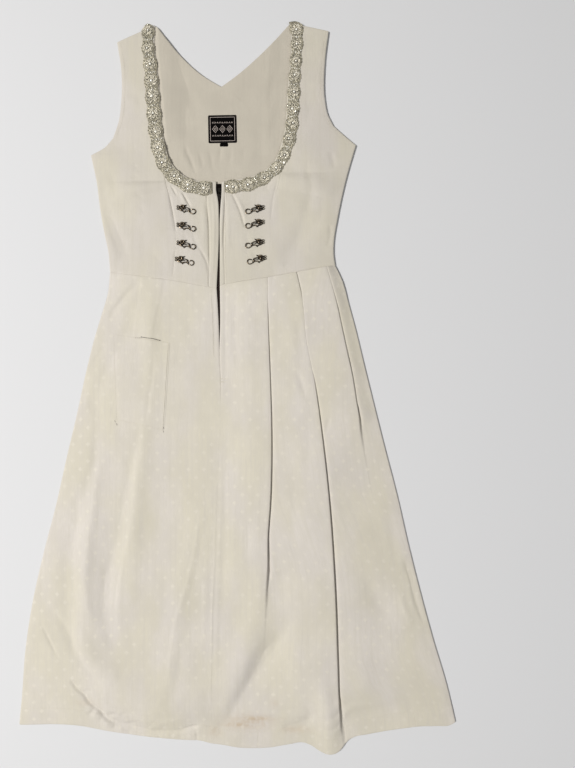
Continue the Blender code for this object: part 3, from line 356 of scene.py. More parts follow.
BRAID_LEFT = curve(-120, 441, -120, 403, -116, 370, -113, 328, -109.5, 285, -106, 252, -100, 221, -86, 193,
                   -62.5, 173, -35, 163.5, -12, 164)
BRAID_RIGHT = curve(127, 445, 130.5, 417, 129, 391, 126, 344, 124, 304, 120, 257, 112, 227, 101, 204,
                    84, 187, 63, 174.5, 40, 168, 9, 165.5)
BRAID_CLEAR = 0.4
BRAID_THICK = 0.8
BRAID_HALF_WIDTHS = {
    "left": [(165, 11.0), (200, 10.8), (253, 10.8), (267, 11.4), (330, 11.4), (349, 10.6), (373, 10.6),
             (390, 10.0), (405, 9.4), (441, 9.4)],
    "right": [(165, 10.4), (175, 10.4), (187, 8.9), (227, 8.9), (249, 9.8), (320, 9.8), (344, 9.2),
              (400, 8.8), (425, 9.8), (445, 11.4)],
}
BRAID_TOPS = {
    "left": [(-1, 10.0), (-0.75, 5.0), (-0.4, 1.0), (-0.1, 0.3), (0.5, 1.2), (0.8, 2.8), (1, 4.5)],
    "right": [(-1, 0.2), (-0.7, 0.1), (0.0, 0.2), (0.5, 2.0), (0.8, 4.5), (1, 7.0)],
}
# How far down the braid the shape of its rounded top end fades out.
BRAID_TOP_FADE = 24
NET_PITCH = 5.2
ROSETTE_PITCH = 27.5
PETAL_INNER = 3.5
PETAL_OUTER = 9.0

HOOK_TILT = 13
HOOK_RING = Point(12.6, -1.0)
HOOK_RING_RADIUS = 4.0
HOOK_RING_START = 137
HOOK_RING_TURN = 262
# The middles of a hook's two sewing loops, in its own frame.
HOOK_LOOPS = ((-14.3, 1.7), (-13.5, -1.9))
HOOKS_LEFT = curve(-56, 128, -56, 99, -56, 69, -59, 42)
HOOKS_RIGHT = curve(60, 128, 60, 104, 60, 71, 63, 44)

LABEL_CENTRE = Point(5, 264)
LABEL_WIDTH = 48
LABEL_HEIGHT = 47
LABEL_TURN = 1.2
LABEL_BORDER = 3.6
SIZE_TAB_WIDTH = 14
SIZE_TAB_HEIGHT = 6

POCKET = curve(-181, -81, -83, -96, -92, -244, -176, -227)
POCKET_SINK = 0.55
POCKET_OPENING = curve(-131, -87.4, -120, -88.6, -108, -90.8, -100, -92.4)

ZIP_TOP = 172
ZIP_BOTTOM = -122
ZIP_TAPE_HALF = 11
TOOTH_PITCH = 2.6
SLIDER_Y = 160
SLIDER_WIDTH = 6.4
SLIDER_LENGTH = 10
SLIDER_BOTTOM = BODICE_BOTTOM + ZIP_TAPE + GAP + 0.1
SLIDER_TOP = SLIDER_BOTTOM + 2.2
BRIDGE_RISE = 2.8
BRIDGE_WIDTH = 2.0
BRIDGE_WALL = 0.9
HINGE = (0, SLIDER_Y - 1.0, SLIDER_TOP + (BRIDGE_RISE - BRIDGE_WALL) / 2)
TAB_WIDTH = 4.6
TAB_LENGTH = 15
TAB_EYE = 5.6
TAB_THICK = 1.0
TAB_BEVEL = 0.18
TAB_BAR = 0.5

HEM_DEPTH = 27
CLOTH_STEP = 2.1
DOT_ACROSS = 26.0
DOT_DOWN = 28.0
DOT_RADIUS = 3.3
WEAVE_PITCH = 0.75


# ---------------------------------------------------------------- curves and heights


def smooth_values(knots, values, at):
    """Reads values at `at` from a smooth curve through the knots."""
    knots = np.asarray(knots, float)
    values = np.asarray(values, float)
    at = np.clip(np.asarray(at, float), knots[0], knots[-1])
    if len(knots) == 2:
        share = (at - knots[0]) / (knots[1] - knots[0])
        return values[0] + np.multiply.outer(share, values[1] - values[0])
    slopes = np.gradient(values, knots, axis=0)
    i = np.clip(np.searchsorted(knots, at) - 1, 0, len(knots) - 2)
    width = knots[i + 1] - knots[i]
    t = (at - knots[i]) / width
    if values.ndim > 1:
        t = t[..., None]
        width = width[..., None]
    first = (1 + 2 * t) * (1 - t) ** 2 * values[i] + t * (1 - t) ** 2 * width * slopes[i]
    return first + t * t * (3 - 2 * t) * values[i + 1] - t * t * (1 - t) * width * slopes[i + 1]


def run_along(points):
    """The distance run along a line, at each of its points."""
    return np.concatenate([[0], np.cumsum(np.linalg.norm(np.diff(points, axis=0), axis=1))])


def walk(points, shares):
    """Points at these shares of the length of a smooth curve through `points`."""
    points = np.asarray(points, float)
    run = run_along(points)
    return smooth_values(run, points, np.asarray(shares) * run[-1])


def length_of(points):
    return float(np.linalg.norm(np.diff(np.asarray(points, float), axis=0), axis=1).sum())


ROLL = np.array([0, 0.45, 1.1, 2.2])
PLAIN = ROLL[:1]
DITCH = np.array([0, 0.6, 1.2, 1.8, 2.5, 3.3, 4.2, 5.3, 6.8, 9])


def strip_shares(length, steps, start=ROLL, end=ROLL):
    """Shares of a length in a fixed count of steps, closer together at `start` and `end`."""
    tail = length - end[::-1]
    middle = np.linspace(start[-1], tail[0], max(steps - len(start) - len(end) + 3, 3))
    return np.concatenate([start[:-1], middle, tail[1:]]) / length


def seam_shares(length, step=CLOTH_STEP):
    """Shares of a length at about this step, closer together at both ends."""
    return strip_shares(length, int(round(length / step)) + 5)


def edge(*stretches):
    """One edge from (points, shares) stretches, with a corner where two of them meet."""
    parts = [walk(points, shares) for points, shares in stretches]
    return np.concatenate([parts[0]] + [part[1:] for part in parts[1:]])


def between(first, last, shares):
    return np.asarray(first) + np.asarray(shares)[:, None] * (np.asarray(last) - np.asarray(first))


def moved(points, right=0.0, up=0.0):
    return [Point(point.x + right, point.y + up) for point in points]


def fill(top, bottom, left, right, across, down):
    """Fills four edges with a grid of points. `across` and `down` are the edges' shares."""
    u = across[None, :, None]
    v = down[:, None, None]
    blend_across = (1 - v) * top[None] + v * bottom[None]
    blend_down = (1 - u) * left[:, None] + u * right[:, None]
    corners = (1 - v) * ((1 - u) * top[0] + u * top[-1]) + v * ((1 - u) * bottom[0] + u * bottom[-1])
    return blend_across + blend_down - corners


def soft_step(value):
    value = np.clip(value, 0, 1)
    return value * value * (3 - 2 * value)


def side_x(y, *stretches):
    points = sorted({point for stretch in stretches for point in stretch}, key=lambda point: point.y)
    return np.interp(y, [point.y for point in points], [point.x for point in points])


def off_line(x, y, line):
    """(distance, signed side, share along) of points from a line of short straight runs."""
    best = np.full(np.shape(x), 1e9)
    side = np.zeros(np.shape(x))
    along = np.zeros(np.shape(x))
    for i in range(len(line) - 1):
        step = line[i + 1] - line[i]
        share = np.clip(((x - line[i, 0]) * step[0] + (y - line[i, 1]) * step[1]) / (step @ step), 0, 1)
        off_x = x - line[i, 0] - share * step[0]
        off_y = y - line[i, 1] - share * step[1]
        away = np.hypot(off_x, off_y)
        nearer = away < best
        side = np.where(nearer, step[0] * off_y - step[1] * off_x, side)
        along = np.where(nearer, (i + share) / (len(line) - 1), along)
        best = np.minimum(best, away)
    return best, np.sign(side), along


def fold_height(x, y, fold):
    """A broad ridge of the solids, on a curved line, fading out at both ends."""
    t = np.linspace(0, 1, 13)[:, None]
    ends = [np.array(pair, float) for pair in
            ((fold.start_x, fold.start_y), (fold.mid_x, fold.mid_y), (fold.end_x, fold.end_y))]
    line = (1 - t) ** 2 * ends[0] + 2 * t * (1 - t) * ends[1] + t * t * ends[2]
    best, _, along = off_line(x, y, line)
    return fold.height * (0.25 + 0.75 * np.sin(np.pi * along)) * np.exp(-((best / fold.width) ** 2))


def crease_height(x, y, creases):
    """The sum of the finer creases, each read only near its own line."""
    total = np.zeros(np.shape(x))
    for crease in creases:
        line = walk(crease.line, np.linspace(0, 1, CREASE_STEPS + 1))
        reach = 3 * crease.width * (1 + abs(crease.lean))
        low = line.min(axis=0) - reach
        high = line.max(axis=0) + reach
        near = (x > low[0]) & (x < high[0]) & (y > low[1]) & (y < high[1])
        if not near.any():
            continue
        best, side, along = off_line(x[near], y[near], line)
        width = crease.width * (1 + side * crease.lean)
        fade = np.sqrt(np.clip(np.sin(np.pi * along), 0, 1))
        total[near] += crease.height * fade * np.exp(-((best / width) ** 2))
    return total


def waves(count, shortest, longest, seed):
    """Random waves of cloth that never lies quite flat: (x rate, y rate, phase, size) rows."""
    draw = random.Random(seed)
    rows = []
    for _ in range(count):
        long = math.exp(draw.uniform(math.log(shortest), math.log(longest)))
        turn = draw.uniform(0, math.pi)
        rate = 2 * math.pi / long
        rows.append((rate * math.cos(turn), rate * math.sin(turn), draw.uniform(0, 6.3), long / longest))
    return rows


RIPPLES = waves(26, 22, 130, 7)
RIPPLE_SIZE = 0.13


def ripple(x, y):
    return RIPPLE_SIZE * sum(size * np.sin(rx * x + ry * y + phase) for rx, ry, phase, size in RIPPLES)


def strip_height(x, y):
    """The pressed pleat beside the pocket: raised between its edges, fading down to the pocket."""
    left = side_x(y, STRIP_LEFT_EDGE)
    right = side_x(y, STRIP_RIGHT_EDGE)
    fade = soft_step((y - STRIP_END) / STRIP_FADE) * (y < STRIP_START)
    return STRIP_RISE * fade * soft_step((x - left) / STRIP_EDGE) * soft_step((right - x) / STRIP_EDGE)


def inside_of(x, y):
    left = side_x(y, SKIRT_SIDE_LEFT, SIDE_LEFT, UNDERARM_LEFT, ARMHOLE_LEFT)
    right = side_x(y, SKIRT_SIDE_RIGHT, SIDE_RIGHT, UNDERARM_RIGHT, ARMHOLE_RIGHT)
    return np.maximum(np.minimum(x - left, right - x), 0)


def front_bottom(x, y, creases):
    """Height of the underside of the front over points of the garment frame."""
    x = np.asarray(x, float)
    y = np.asarray(y, float)
    bodice = soft_step((y + WAIST_REACH) / WAIST_REACH)
    rest = SKIRT_BOTTOM + (BODICE_BOTTOM - SKIRT_BOTTOM) * bodice
    inside = inside_of(x, y)
    loft = LOFT * (1 - np.exp(-inside / LOFT_REACH))
    low_end = HEM_LOFT + (1 - HEM_LOFT) * soft_step((y - HEM_Y) / END_REACH)
    loft = loft * soft_step((SHOULDER_Y - y) / END_REACH) * low_end
    folds = sum(fold_height(x, y, fold) for fold in FOLDS)
    fine = crease_height(x, y, creases) + ripple(x, y)
    if creases is SKIRT_LEFT_CREASES:
        fine = fine + strip_height(x, y)
    relief = folds * soft_step(inside / FOLD_REACH) + fine * soft_step(inside / CREASE_REACH)
    return rest + np.maximum(loft + relief, 0)


def front_top(x, y, creases=BODICE_CREASES):
    return front_bottom(x, y, creases) + CLOTH


class BodiceTop:
    """The bodice's upper surface as a fine table of heights, for the many small pieces on it."""

    step = 2.0
    low_x, low_y = -240.0, -20.0
    columns, rows = 250, 240
    table = None

    def __call__(self, x, y):
        if self.table is None:
            xs = self.low_x + self.step * np.arange(self.columns)
            ys = self.low_y + self.step * np.arange(self.rows)
            self.table = front_top(*np.meshgrid(xs, ys))
        u = np.clip((np.asarray(x, float) - self.low_x) / self.step, 0, self.columns - 1.001)
        v = np.clip((np.asarray(y, float) - self.low_y) / self.step, 0, self.rows - 1.001)
        i, j = u.astype(int), v.astype(int)
        u, v = u - i, v - j
        near = self.table[j, i] * (1 - u) + self.table[j, i + 1] * u
        far = self.table[j + 1, i] * (1 - u) + self.table[j + 1, i + 1] * u
        return near * (1 - v) + far * v


bodice_top = BodiceTop()


# ---------------------------------------------------------------- meshes


def world(points):
    """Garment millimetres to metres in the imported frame."""
    return (np.asarray(points, float) + (CENTRE_FRONT_X, WAIST_Y, 0)) * MM


def put(name, data):
    made = bpy.data.objects.new(name, data)
    bpy.context.scene.collection.objects.link(made)
    return made


def make_mesh(name, points, faces, material, uv=None, sharp=None):
    mesh = bpy.data.meshes.new(name)
    mesh.from_pydata([tuple(point) for point in points], [], faces)
    mesh.shade_smooth()
    if sharp:
        mesh.set_sharp_from_angle(angle=math.radians(sharp))
    mesh.materials.append(material)
    if uv is not None:
        layer = mesh.uv_layers.new(name="cloth")
        corners = np.empty(len(mesh.loops), np.int32)
        mesh.loops.foreach_get("vertex_index", corners)
        layer.data.foreach_set("uv", np.asarray(uv, np.float32)[corners].ravel())
    return put(name, mesh)


def face_outward(made):
    shape = bmesh.new()
    shape.from_mesh(made.data)
    bmesh.ops.recalc_face_normals(shape, faces=shape.faces[:])
    shape.to_mesh(made.data)
    shape.free()


def grid_quads(rows, columns, start=0):
    first = start + (np.arange(rows - 1)[:, None] * columns + np.arange(columns - 1)).ravel()
    return np.column_stack([first, first + columns, first + columns + 1, first + 1])


def rim_loop(rows, columns):
    """(row, column) places round a grid, anticlockwise seen from above, and each one's inner neighbour."""
    loop = [((i, 0), (i, 1)) for i in range(rows)]
    loop += [((rows - 1, j), (rows - 2, j)) for j in range(1, columns)]
    loop += [((i, columns - 1), (i, columns - 2)) for i in range(rows - 2, -1, -1)]
    loop += [((0, j), (1, j)) for j in range(columns - 2, 0, -1)]
    return np.array(loop)


def picked(count, every):
    """Every few places of a count, with the last, and the nearest pick to each place."""
    picks = np.array(sorted(set(range(0, count, every)) | {count - 1}))
    nearest = np.abs(np.arange(count)[:, None] - picks).argmin(axis=1)
    return picks, nearest


def lowest_near(height, reach):
    """The least height within a few rows and columns of each place."""
    for axis, span in enumerate(reach):
        shifted = [np.roll(height, move, axis) for move in range(-span, span + 1)]
        for move, copy in zip(range(-span, span + 1), shifted):
            rows = copy if axis == 0 else copy.T
            source = height if axis == 0 else height.T
            if move > 0:
                rows[:move] = source[:1]
            elif move < 0:
                rows[move:] = source[-1:]
        height = np.minimum.reduce(shifted)
    return height


# How far a rim swells outward, as a share of the shell's thickness there.
RIM_BULGE = 0.3


def shell(name, lower, upper, material, uv=None, coarse=(3, 3), joined=None):
    """A thin closed shell between two grids of garment points, with a rounded rim and a plainer underside.

    `joined` says, from rim points, where the rim meets another piece with no line between them."""
    rows, columns = upper.shape[:2]
    count = rows * columns
    flat_upper = upper.reshape(-1, 3)
    loop = rim_loop(rows, columns)
    rim = loop[:, 0, 0] * columns + loop[:, 0, 1]
    inner = loop[:, 1, 0] * columns + loop[:, 1, 1]
    row_picks, row_nearest = picked(rows, coarse[0])
    column_picks, column_nearest = picked(columns, coarse[1])
    plain = lower.copy()
    plain[..., 2] = lowest_near(lower[..., 2], (coarse[0] - 1, coarse[1] - 1))
    plain = plain[row_picks][:, column_picks]
    plain_columns = len(column_picks)
    under = count + row_nearest[loop[:, 0, 0]] * plain_columns + column_nearest[loop[:, 0, 1]]
    outward = flat_upper[rim, :2] - flat_upper[inner, :2]
    outward /= np.maximum(np.linalg.norm(outward, axis=1, keepdims=True), 1e-6)
    rim_low = lower.reshape(-1, 3)[rim]
    wall = np.linalg.norm(flat_upper[rim] - rim_low, axis=1, keepdims=True)
    points = [flat_upper, plain.reshape(-1, 3)]
    shut = np.zeros(len(rim), bool) if joined is None else joined(flat_upper[rim])
    for share in (0.75, 0.25):
        ring = flat_upper[rim] * share + rim_low * (1 - share)
        ring[:, :2] += outward * wall * np.where(shut, 0.0, RIM_BULGE)[:, None]
        points.append(ring)
    turn = len(rim)
    first = count + len(row_picks) * plain_columns
    here = np.arange(turn)
    after = (here + 1) % turn
    ladder = [rim, first + here, first + turn + here, under]
    faces = [tuple(quad) for quad in grid_quads(rows, columns).tolist()]
    faces += [tuple(quad) for quad in grid_quads(len(row_picks), plain_columns, count)[:, ::-1].tolist()]
    for i in range(3):
        for quad in np.column_stack([ladder[i], ladder[i + 1], ladder[i + 1][after],
                                     ladder[i][after]]).tolist():
            faces.append(tuple(dict.fromkeys(quad)))
    if uv is None:
        uv = upper[..., :2]
    flat_uv = uv.reshape(-1, 2)
    plain_uv = uv[row_picks][:, column_picks].reshape(-1, 2)
    all_uv = np.concatenate([flat_uv, plain_uv, flat_uv[rim], flat_uv[rim]]) * MM
    made = make_mesh(name, world(np.concatenate(points)), faces, material, all_uv)
    if joined is not None:
        crisp = set(rim[shut].tolist())
        for edge_line in made.data.edges:
            if crisp.issuperset(edge_line.vertices):
                edge_line.use_edge_sharp = True
    return made


def roll_down(height, plan, edges, drop, reach=2.4):
    """Lowers heights towards the named edges of a grid: top, bottom, left or right."""
    along_rows = np.linalg.norm(np.diff(plan, axis=1), axis=2)
    along_columns = np.linalg.norm(np.diff(plan, axis=0), axis=2)
    zero_column = np.zeros((plan.shape[0], 1))
    zero_row = np.zeros((1, plan.shape[1]))
    away = {
        "left": np.concatenate([zero_column, np.cumsum(along_rows, axis=1)], axis=1),
        "right": np.concatenate([np.cumsum(along_rows[:, ::-1], axis=1)[:, ::-1], zero_column], axis=1),
        "top": np.concatenate([zero_row, np.cumsum(along_columns, axis=0)]),
        "bottom": np.concatenate([np.cumsum(along_columns[::-1], axis=0)[::-1], zero_row]),
    }
    for name in edges:
        share = np.clip(1 - away[name] / reach, 0, 1)
        height = height - drop * share**2
    return height


def dress_cloth(piece, node):
    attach(piece, BODY)
    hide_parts(node)


class Batch:
    """Many small shapes that are joined into one mesh."""

    def __init__(self):
        self.points = []
        self.faces = []
        self.count = 0

    def add(self, points, faces):
        self.points.append(np.asarray(points, float))
        self.faces += [tuple(int(index) + self.count for index in face) for face in faces]
        self.count += len(points)

    def tube(self, path, radius, sides=5, closed=False):
        """A tube along a path, with pointed ends unless it is closed."""
        path = np.asarray(path, float)
        radius = np.broadcast_to(np.asarray(radius, float), (len(path),))
        if closed:
            ahead = np.roll(path, -1, axis=0) - np.roll(path, 1, axis=0)
        else:
            ahead = np.gradient(path, axis=0)
        ahead = ahead / np.maximum(np.linalg.norm(ahead, axis=1, keepdims=True), 1e-9)
        side = np.cross(ahead, (0, 0, 1.0))
        side = side / np.maximum(np.linalg.norm(side, axis=1, keepdims=True), 1e-9)
        up = np.cross(side, ahead)
        turn = 2 * np.pi * np.arange(sides) / sides
        ring = np.cos(turn)[None, :, None] * side[:, None] + np.sin(turn)[None, :, None] * up[:, None]
        points = (path[:, None] + ring * radius[:, None, None]).reshape(-1, 3)
        count = len(path)
        faces = []
        for i in range(count if closed else count - 1):
            near, far = i * sides, (i + 1) % count * sides
            for j in range(sides):
                k = (j + 1) % sides
                faces.append((near + j, near + k, far + k, far + j))
        if not closed:
            tips = [path[0] - ahead[0] * radius[0] * 0.6, path[-1] + ahead[-1] * radius[-1] * 0.6]
            points = np.concatenate([points, tips])
            first, last = count * sides, count * sides + 1
            for j in range(sides):
                k = (j + 1) % sides
                faces.append((first, k, j))
                faces.append((last, (count - 1) * sides + j, (count - 1) * sides + k))
        self.add(points, faces)

    def ball(self, centre, radii, template=None):
        points, faces = template or BALL
        self.add(points * np.asarray(radii, float) + np.asarray(centre, float), faces)

    def build(self, name, material, slot, sharp=None, node=None, place=True):
        points = np.concatenate(self.points)
        made = make_mesh(name, world(points) if place else points * MM, self.faces, material, sharp=sharp)
        if place:
            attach(made, BODY)
            if node:
                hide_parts(node)
        return made


def ball_template(subdivisions):
    shape = bmesh.new()
    bmesh.ops.create_icosphere(shape, subdivisions=subdivisions, radius=1.0)
    points = np.array([vertex.co for vertex in shape.verts])
    faces = [tuple(vertex.index for vertex in face.verts) for face in shape.faces]
    shape.free()
    return points, faces


BALL = ball_template(2)
SMALL_BALL = ball_template(1)


# ---------------------------------------------------------------- materials


class Nodes:
    """Short calls for building one material's nodes."""

    def __init__(self, name, colour, roughness, metallic=0.0):
        self.material = bpy.data.materials.new(name)
        self.material.use_nodes = True
        self.tree = self.material.node_tree
        self.shader = self.tree.nodes["Principled BSDF"]
        self.set("Base Color", (*colour, 1.0))
        self.set("Roughness", roughness)
        self.set("Metallic", metallic)

    def set(self, socket, value):
        self.shader.inputs[socket].default_value = value

    def new(self, kind, **settings):
        node = self.tree.nodes.new(kind)
        for name, value in settings.items():
            setattr(node, name, value)
        return node

    def link(self, output, socket):
        self.tree.links.new(output, socket)

    def math(self, operation, first, second=None, third=None):
        node = self.new("ShaderNodeMath", operation=operation)
        for place, value in enumerate((first, second, third)):
            if value is None:
                continue
            if isinstance(value, (int, float)):
                node.inputs[place].default_value = value
            else:
                self.link(value, node.inputs[place])
        return node.outputs[0]

    def vector(self, operation, first, second=None, output=0):
        node = self.new("ShaderNodeVectorMath", operation=operation)
        for place, value in enumerate((first, second)):
            if value is None:
                continue
            if isinstance(value, tuple):
                node.inputs[place].default_value = value
            else:
                self.link(value, node.inputs[place])
        return node.outputs[output]

    def noise(self, vector, scale, detail=2.0):
        node = self.new("ShaderNodeTexNoise")
        node.inputs["Scale"].default_value = scale
        node.inputs["Detail"].default_value = detail
        self.link(vector, node.inputs["Vector"])
        return node.outputs["Fac"]

    def spread(self, value, low, high, to_low, to_high):
        node = self.new("ShaderNodeMapRange", interpolation_type="SMOOTHSTEP")
        for name, number in (("From Min", low), ("From Max", high), ("To Min", to_low),
                             ("To Max", to_high)):
            node.inputs[name].default_value = number
        self.link(value, node.inputs["Value"])
        return node.outputs["Result"]

    def mix(self, share, first, second):
        node = self.new("ShaderNodeMix", data_type="RGBA")
        for place, value in ((0, share), (6, first), (7, second)):
            if isinstance(value, tuple):
                node.inputs[place].default_value = (*value, 1.0)
            else:
                self.link(value, node.inputs[place])
        return node.outputs[2]

    def bump(self, height, distance, strength):
        node = self.new("ShaderNodeBump")
        node.inputs["Distance"].default_value = distance
        node.inputs["Strength"].default_value = strength
        self.link(height, node.inputs["Height"])
        return node.outputs["Normal"]


def tinted(colour, factor):
    return tuple(channel * factor for channel in colour)


def tinted_by(nodes, colour, factor):
    """A linked colour made this much lighter or darker."""
    return nodes.vector("MULTIPLY", colour, (factor, factor, factor))


def weave_height(nodes, coordinates, pitch):
    """A plain weave: over and under in both directions."""
    rate = 2 * math.pi / pitch
    scaled = nodes.vector("MULTIPLY", coordinates, (rate, rate, 0))
    split = nodes.new("ShaderNodeSeparateXYZ")
    nodes.link(scaled, split.inputs[0])
    across = nodes.math("SINE", split.outputs[0])
    down = nodes.math("SINE", split.outputs[1])
    return nodes.math("MULTIPLY", across, down)


def dot_mask(nodes, coordinates, shift):
    """Small woven flowers on a lattice: 1 inside a flower, fading to 0 outside."""
    cell = (DOT_ACROSS * MM, DOT_DOWN * MM, 1)
    place = nodes.vector("ADD", nodes.vector("DIVIDE", coordinates, cell), (shift, shift, 0))
    centred = nodes.vector("SUBTRACT", nodes.vector("FRACTION", place), (0.5, 0.5, 0))
    offset = nodes.vector("MULTIPLY", centred, (cell[0], cell[1], 0))
    split = nodes.new("ShaderNodeSeparateXYZ")
    nodes.link(offset, split.inputs[0])
    angle = nodes.math("ARCTAN2", split.outputs[1], split.outputs[0])
    petals = nodes.math("COSINE", nodes.math("MULTIPLY", angle, 4.0))
    reach = nodes.math("MULTIPLY_ADD", petals, 0.14 * DOT_RADIUS * MM, 0.8 * DOT_RADIUS * MM)
    away = nodes.vector("LENGTH", offset, output=1)
    return nodes.spread(nodes.math("SUBTRACT", reach, away), -0.0018, 0.0012, 0.0, 1.0)


def cloth_material(name, colour, pitch, roughness, dots=False, stain=False, blotch=0.03, sheen=0.12,
                   tones=None,
                   shine=0.3):
    """Woven cloth. `tones` are the warm and cool shades that its colour drifts between."""
    nodes = Nodes(name, colour, roughness)
    nodes.set("Sheen Weight", sheen)
    nodes.set("Sheen Roughness", 0.45)
    nodes.set("Specular IOR Level", shine)
    coordinates = nodes.new("ShaderNodeUVMap", uv_map="cloth").outputs[0]
    slow = nodes.noise(coordinates, 14.0, 3.0)
    slub = nodes.noise(nodes.vector("MULTIPLY", coordinates, (900.0, 70.0, 1.0)), 1.0, 2.0)
    streak = nodes.noise(nodes.vector("MULTIPLY", coordinates, (210.0, 9.0, 1.0)), 1.0, 3.0)
    shade = nodes.spread(slow, 0.3, 0.7, 0.0, 1.0)
    base = nodes.mix(shade, tinted(colour, 1 - blotch), tinted(colour, 1 + blotch))
    if tones:
        drift = nodes.noise(nodes.vector("MULTIPLY", coordinates, (1.0, 0.45, 1.0)), 13.0, 4.0)
        toned = nodes.mix(nodes.spread(drift, 0.36, 0.64, 0.0, 1.0), tones[0], tones[1])
        base = nodes.mix(shade, tinted_by(nodes, toned, 1 - blotch), tinted_by(nodes, toned, 1 + blotch))
    base = nodes.mix(nodes.spread(slub, 0.35, 0.75, 0.0, 0.5), base, tinted(colour, 0.93))
    base = nodes.mix(nodes.spread(streak, 0.42, 0.75, 0.0, 0.5), base, tinted(colour, 0.92))
    height = nodes.math("MULTIPLY_ADD", slub, 0.8, weave_height(nodes, coordinates, pitch * MM))
    if dots:
        mask = nodes.math("MAXIMUM", dot_mask(nodes, coordinates, 0.0), dot_mask(nodes, coordinates, 0.5))
        seen = nodes.spread(nodes.noise(coordinates, 11.0, 2.0), 0.3, 0.7, 0.12, 0.8)
        worn = nodes.spread(nodes.noise(coordinates, 160.0, 2.0), 0.3, 0.6, 0.35, 1.0)
        lighter = tuple(min(channel * 1.09, 0.95) for channel in colour)
        shown = nodes.math("MULTIPLY", mask, nodes.math("MULTIPLY", seen, worn))
        base = nodes.mix(shown, base, lighter)
        height = nodes.math("MULTIPLY_ADD", mask, 1.0, height)
        nodes.link(nodes.spread(shown, 0.0, 1.0, roughness, roughness - 0.2),
                   nodes.shader.inputs["Roughness"])
    if stain:
        mark = nodes.new("ShaderNodeAttribute", attribute_name="stain").outputs["Fac"]
        broken = nodes.math("MULTIPLY", mark, nodes.spread(nodes.noise(coordinates, 120.0, 4.0), 0.3, 0.6,
                                                           0.35, 1.0))
        base = nodes.mix(broken, base, (colour[0] * 0.82, colour[1] * 0.71, colour[2] * 0.60))
    nodes.link(base, nodes.shader.inputs["Base Color"])
    nodes.link(nodes.bump(height, 0.00008, 0.55), nodes.shader.inputs["Normal"])
    return nodes.material


def thread_material(name, colour, roughness, metallic=0.0, scale=900.0, contrast=0.25, shine=0.5):
    """Twisted thread or worked wire: fine light and dark flecks."""
    nodes = Nodes(name, colour, roughness, metallic)
    nodes.set("Specular IOR Level", shine)
    coordinates = nodes.new("ShaderNodeTexCoord").outputs["Object"]
    fleck = nodes.noise(coordinates, scale, 2.0)
    base = nodes.mix(nodes.spread(fleck, 0.35, 0.65, 0.0, 1.0), tinted(colour, 1 - contrast),
                     tinted(colour, 1 + contrast))
    nodes.link(base, nodes.shader.inputs["Base Color"])
    nodes.link(nodes.spread(fleck, 0.3, 0.7, roughness + 0.12, max(roughness - 0.12, 0.05)),
               nodes.shader.inputs["Roughness"])
    nodes.link(nodes.bump(fleck, 0.00012, 0.5), nodes.shader.inputs["Normal"])
    return nodes.material


def antique_material(name):
    """Dark oxidised metal, lighter and smoother where its surfaces face up: rubbed to a warm shine where it
    stands proud, and partly a painted highlight.
    """
    nodes = Nodes(name, (0.06, 0.045, 0.03), 0.34, 1.0)
    coordinates = nodes.new("ShaderNodeTexCoord").outputs["Object"]
    facing = nodes.new("ShaderNodeNewGeometry").outputs["Normal"]
    split = nodes.new("ShaderNodeSeparateXYZ")
    nodes.link(facing, split.inputs[0])
    # Up-facing surfaces take the warm light colour: partly rubbed wear, partly a painted highlight.
    worn = nodes.spread(split.outputs[2], 0.88, 1.0, 0.0, 1.0)
    patchy = nodes.spread(nodes.noise(coordinates, 700.0, 3.0), 0.45, 0.62, 0.05, 1.0)
    share = nodes.math("MULTIPLY", worn, patchy)
    base = nodes.mix(share, (0.014, 0.010, 0.007), (0.86, 0.68, 0.48))
    nodes.link(base, nodes.shader.inputs["Base Color"])
    nodes.link(nodes.spread(share, 0.0, 1.0, 0.5, 0.22), nodes.shader.inputs["Roughness"])
    nodes.link(nodes.bump(nodes.noise(coordinates, 1500.0, 2.0), 0.00015, 0.4),
               nodes.shader.inputs["Normal"])
    return nodes.material


SKIRT_COLOUR = (0.626, 0.587, 0.512)
BODICE_COLOUR = (0.600, 0.562, 0.490)
LINING_COLOUR = (0.532, 0.491, 0.415)
SKIRT_TONES = ((0.620, 0.581, 0.482), (0.632, 0.592, 0.546))
BODICE_TONES = ((0.592, 0.555, 0.464), (0.605, 0.566, 0.518))
SKIRT_CLOTH = cloth_material("skirt_cloth_look", SKIRT_COLOUR, WEAVE_PITCH, 0.72, True, True,
                             tones=SKIRT_TONES)
BODICE_CLOTH = cloth_material("bodice_cloth_look", BODICE_COLOUR, WEAVE_PITCH, 0.74, tones=BODICE_TONES)
LINING_CLOTH = cloth_material("lining_cloth_look", LINING_COLOUR, 0.6, 0.85, blotch=0.04)
THREAD = thread_material("sewing_thread_look", (0.635, 0.592, 0.50), 0.7, contrast=0.15)
DARK_THREAD = thread_material("dark_thread_look", (0.055, 0.045, 0.04), 0.7)
# The braid's own tape, coloured dark as painted shade for the gaps between its wires.
SILVER_TAPE_PAINTED_SHADE = thread_material("silver_tape_painted_shade_look", (0.20, 0.183, 0.132), 0.7, 0.0, 520.0, 0.5)
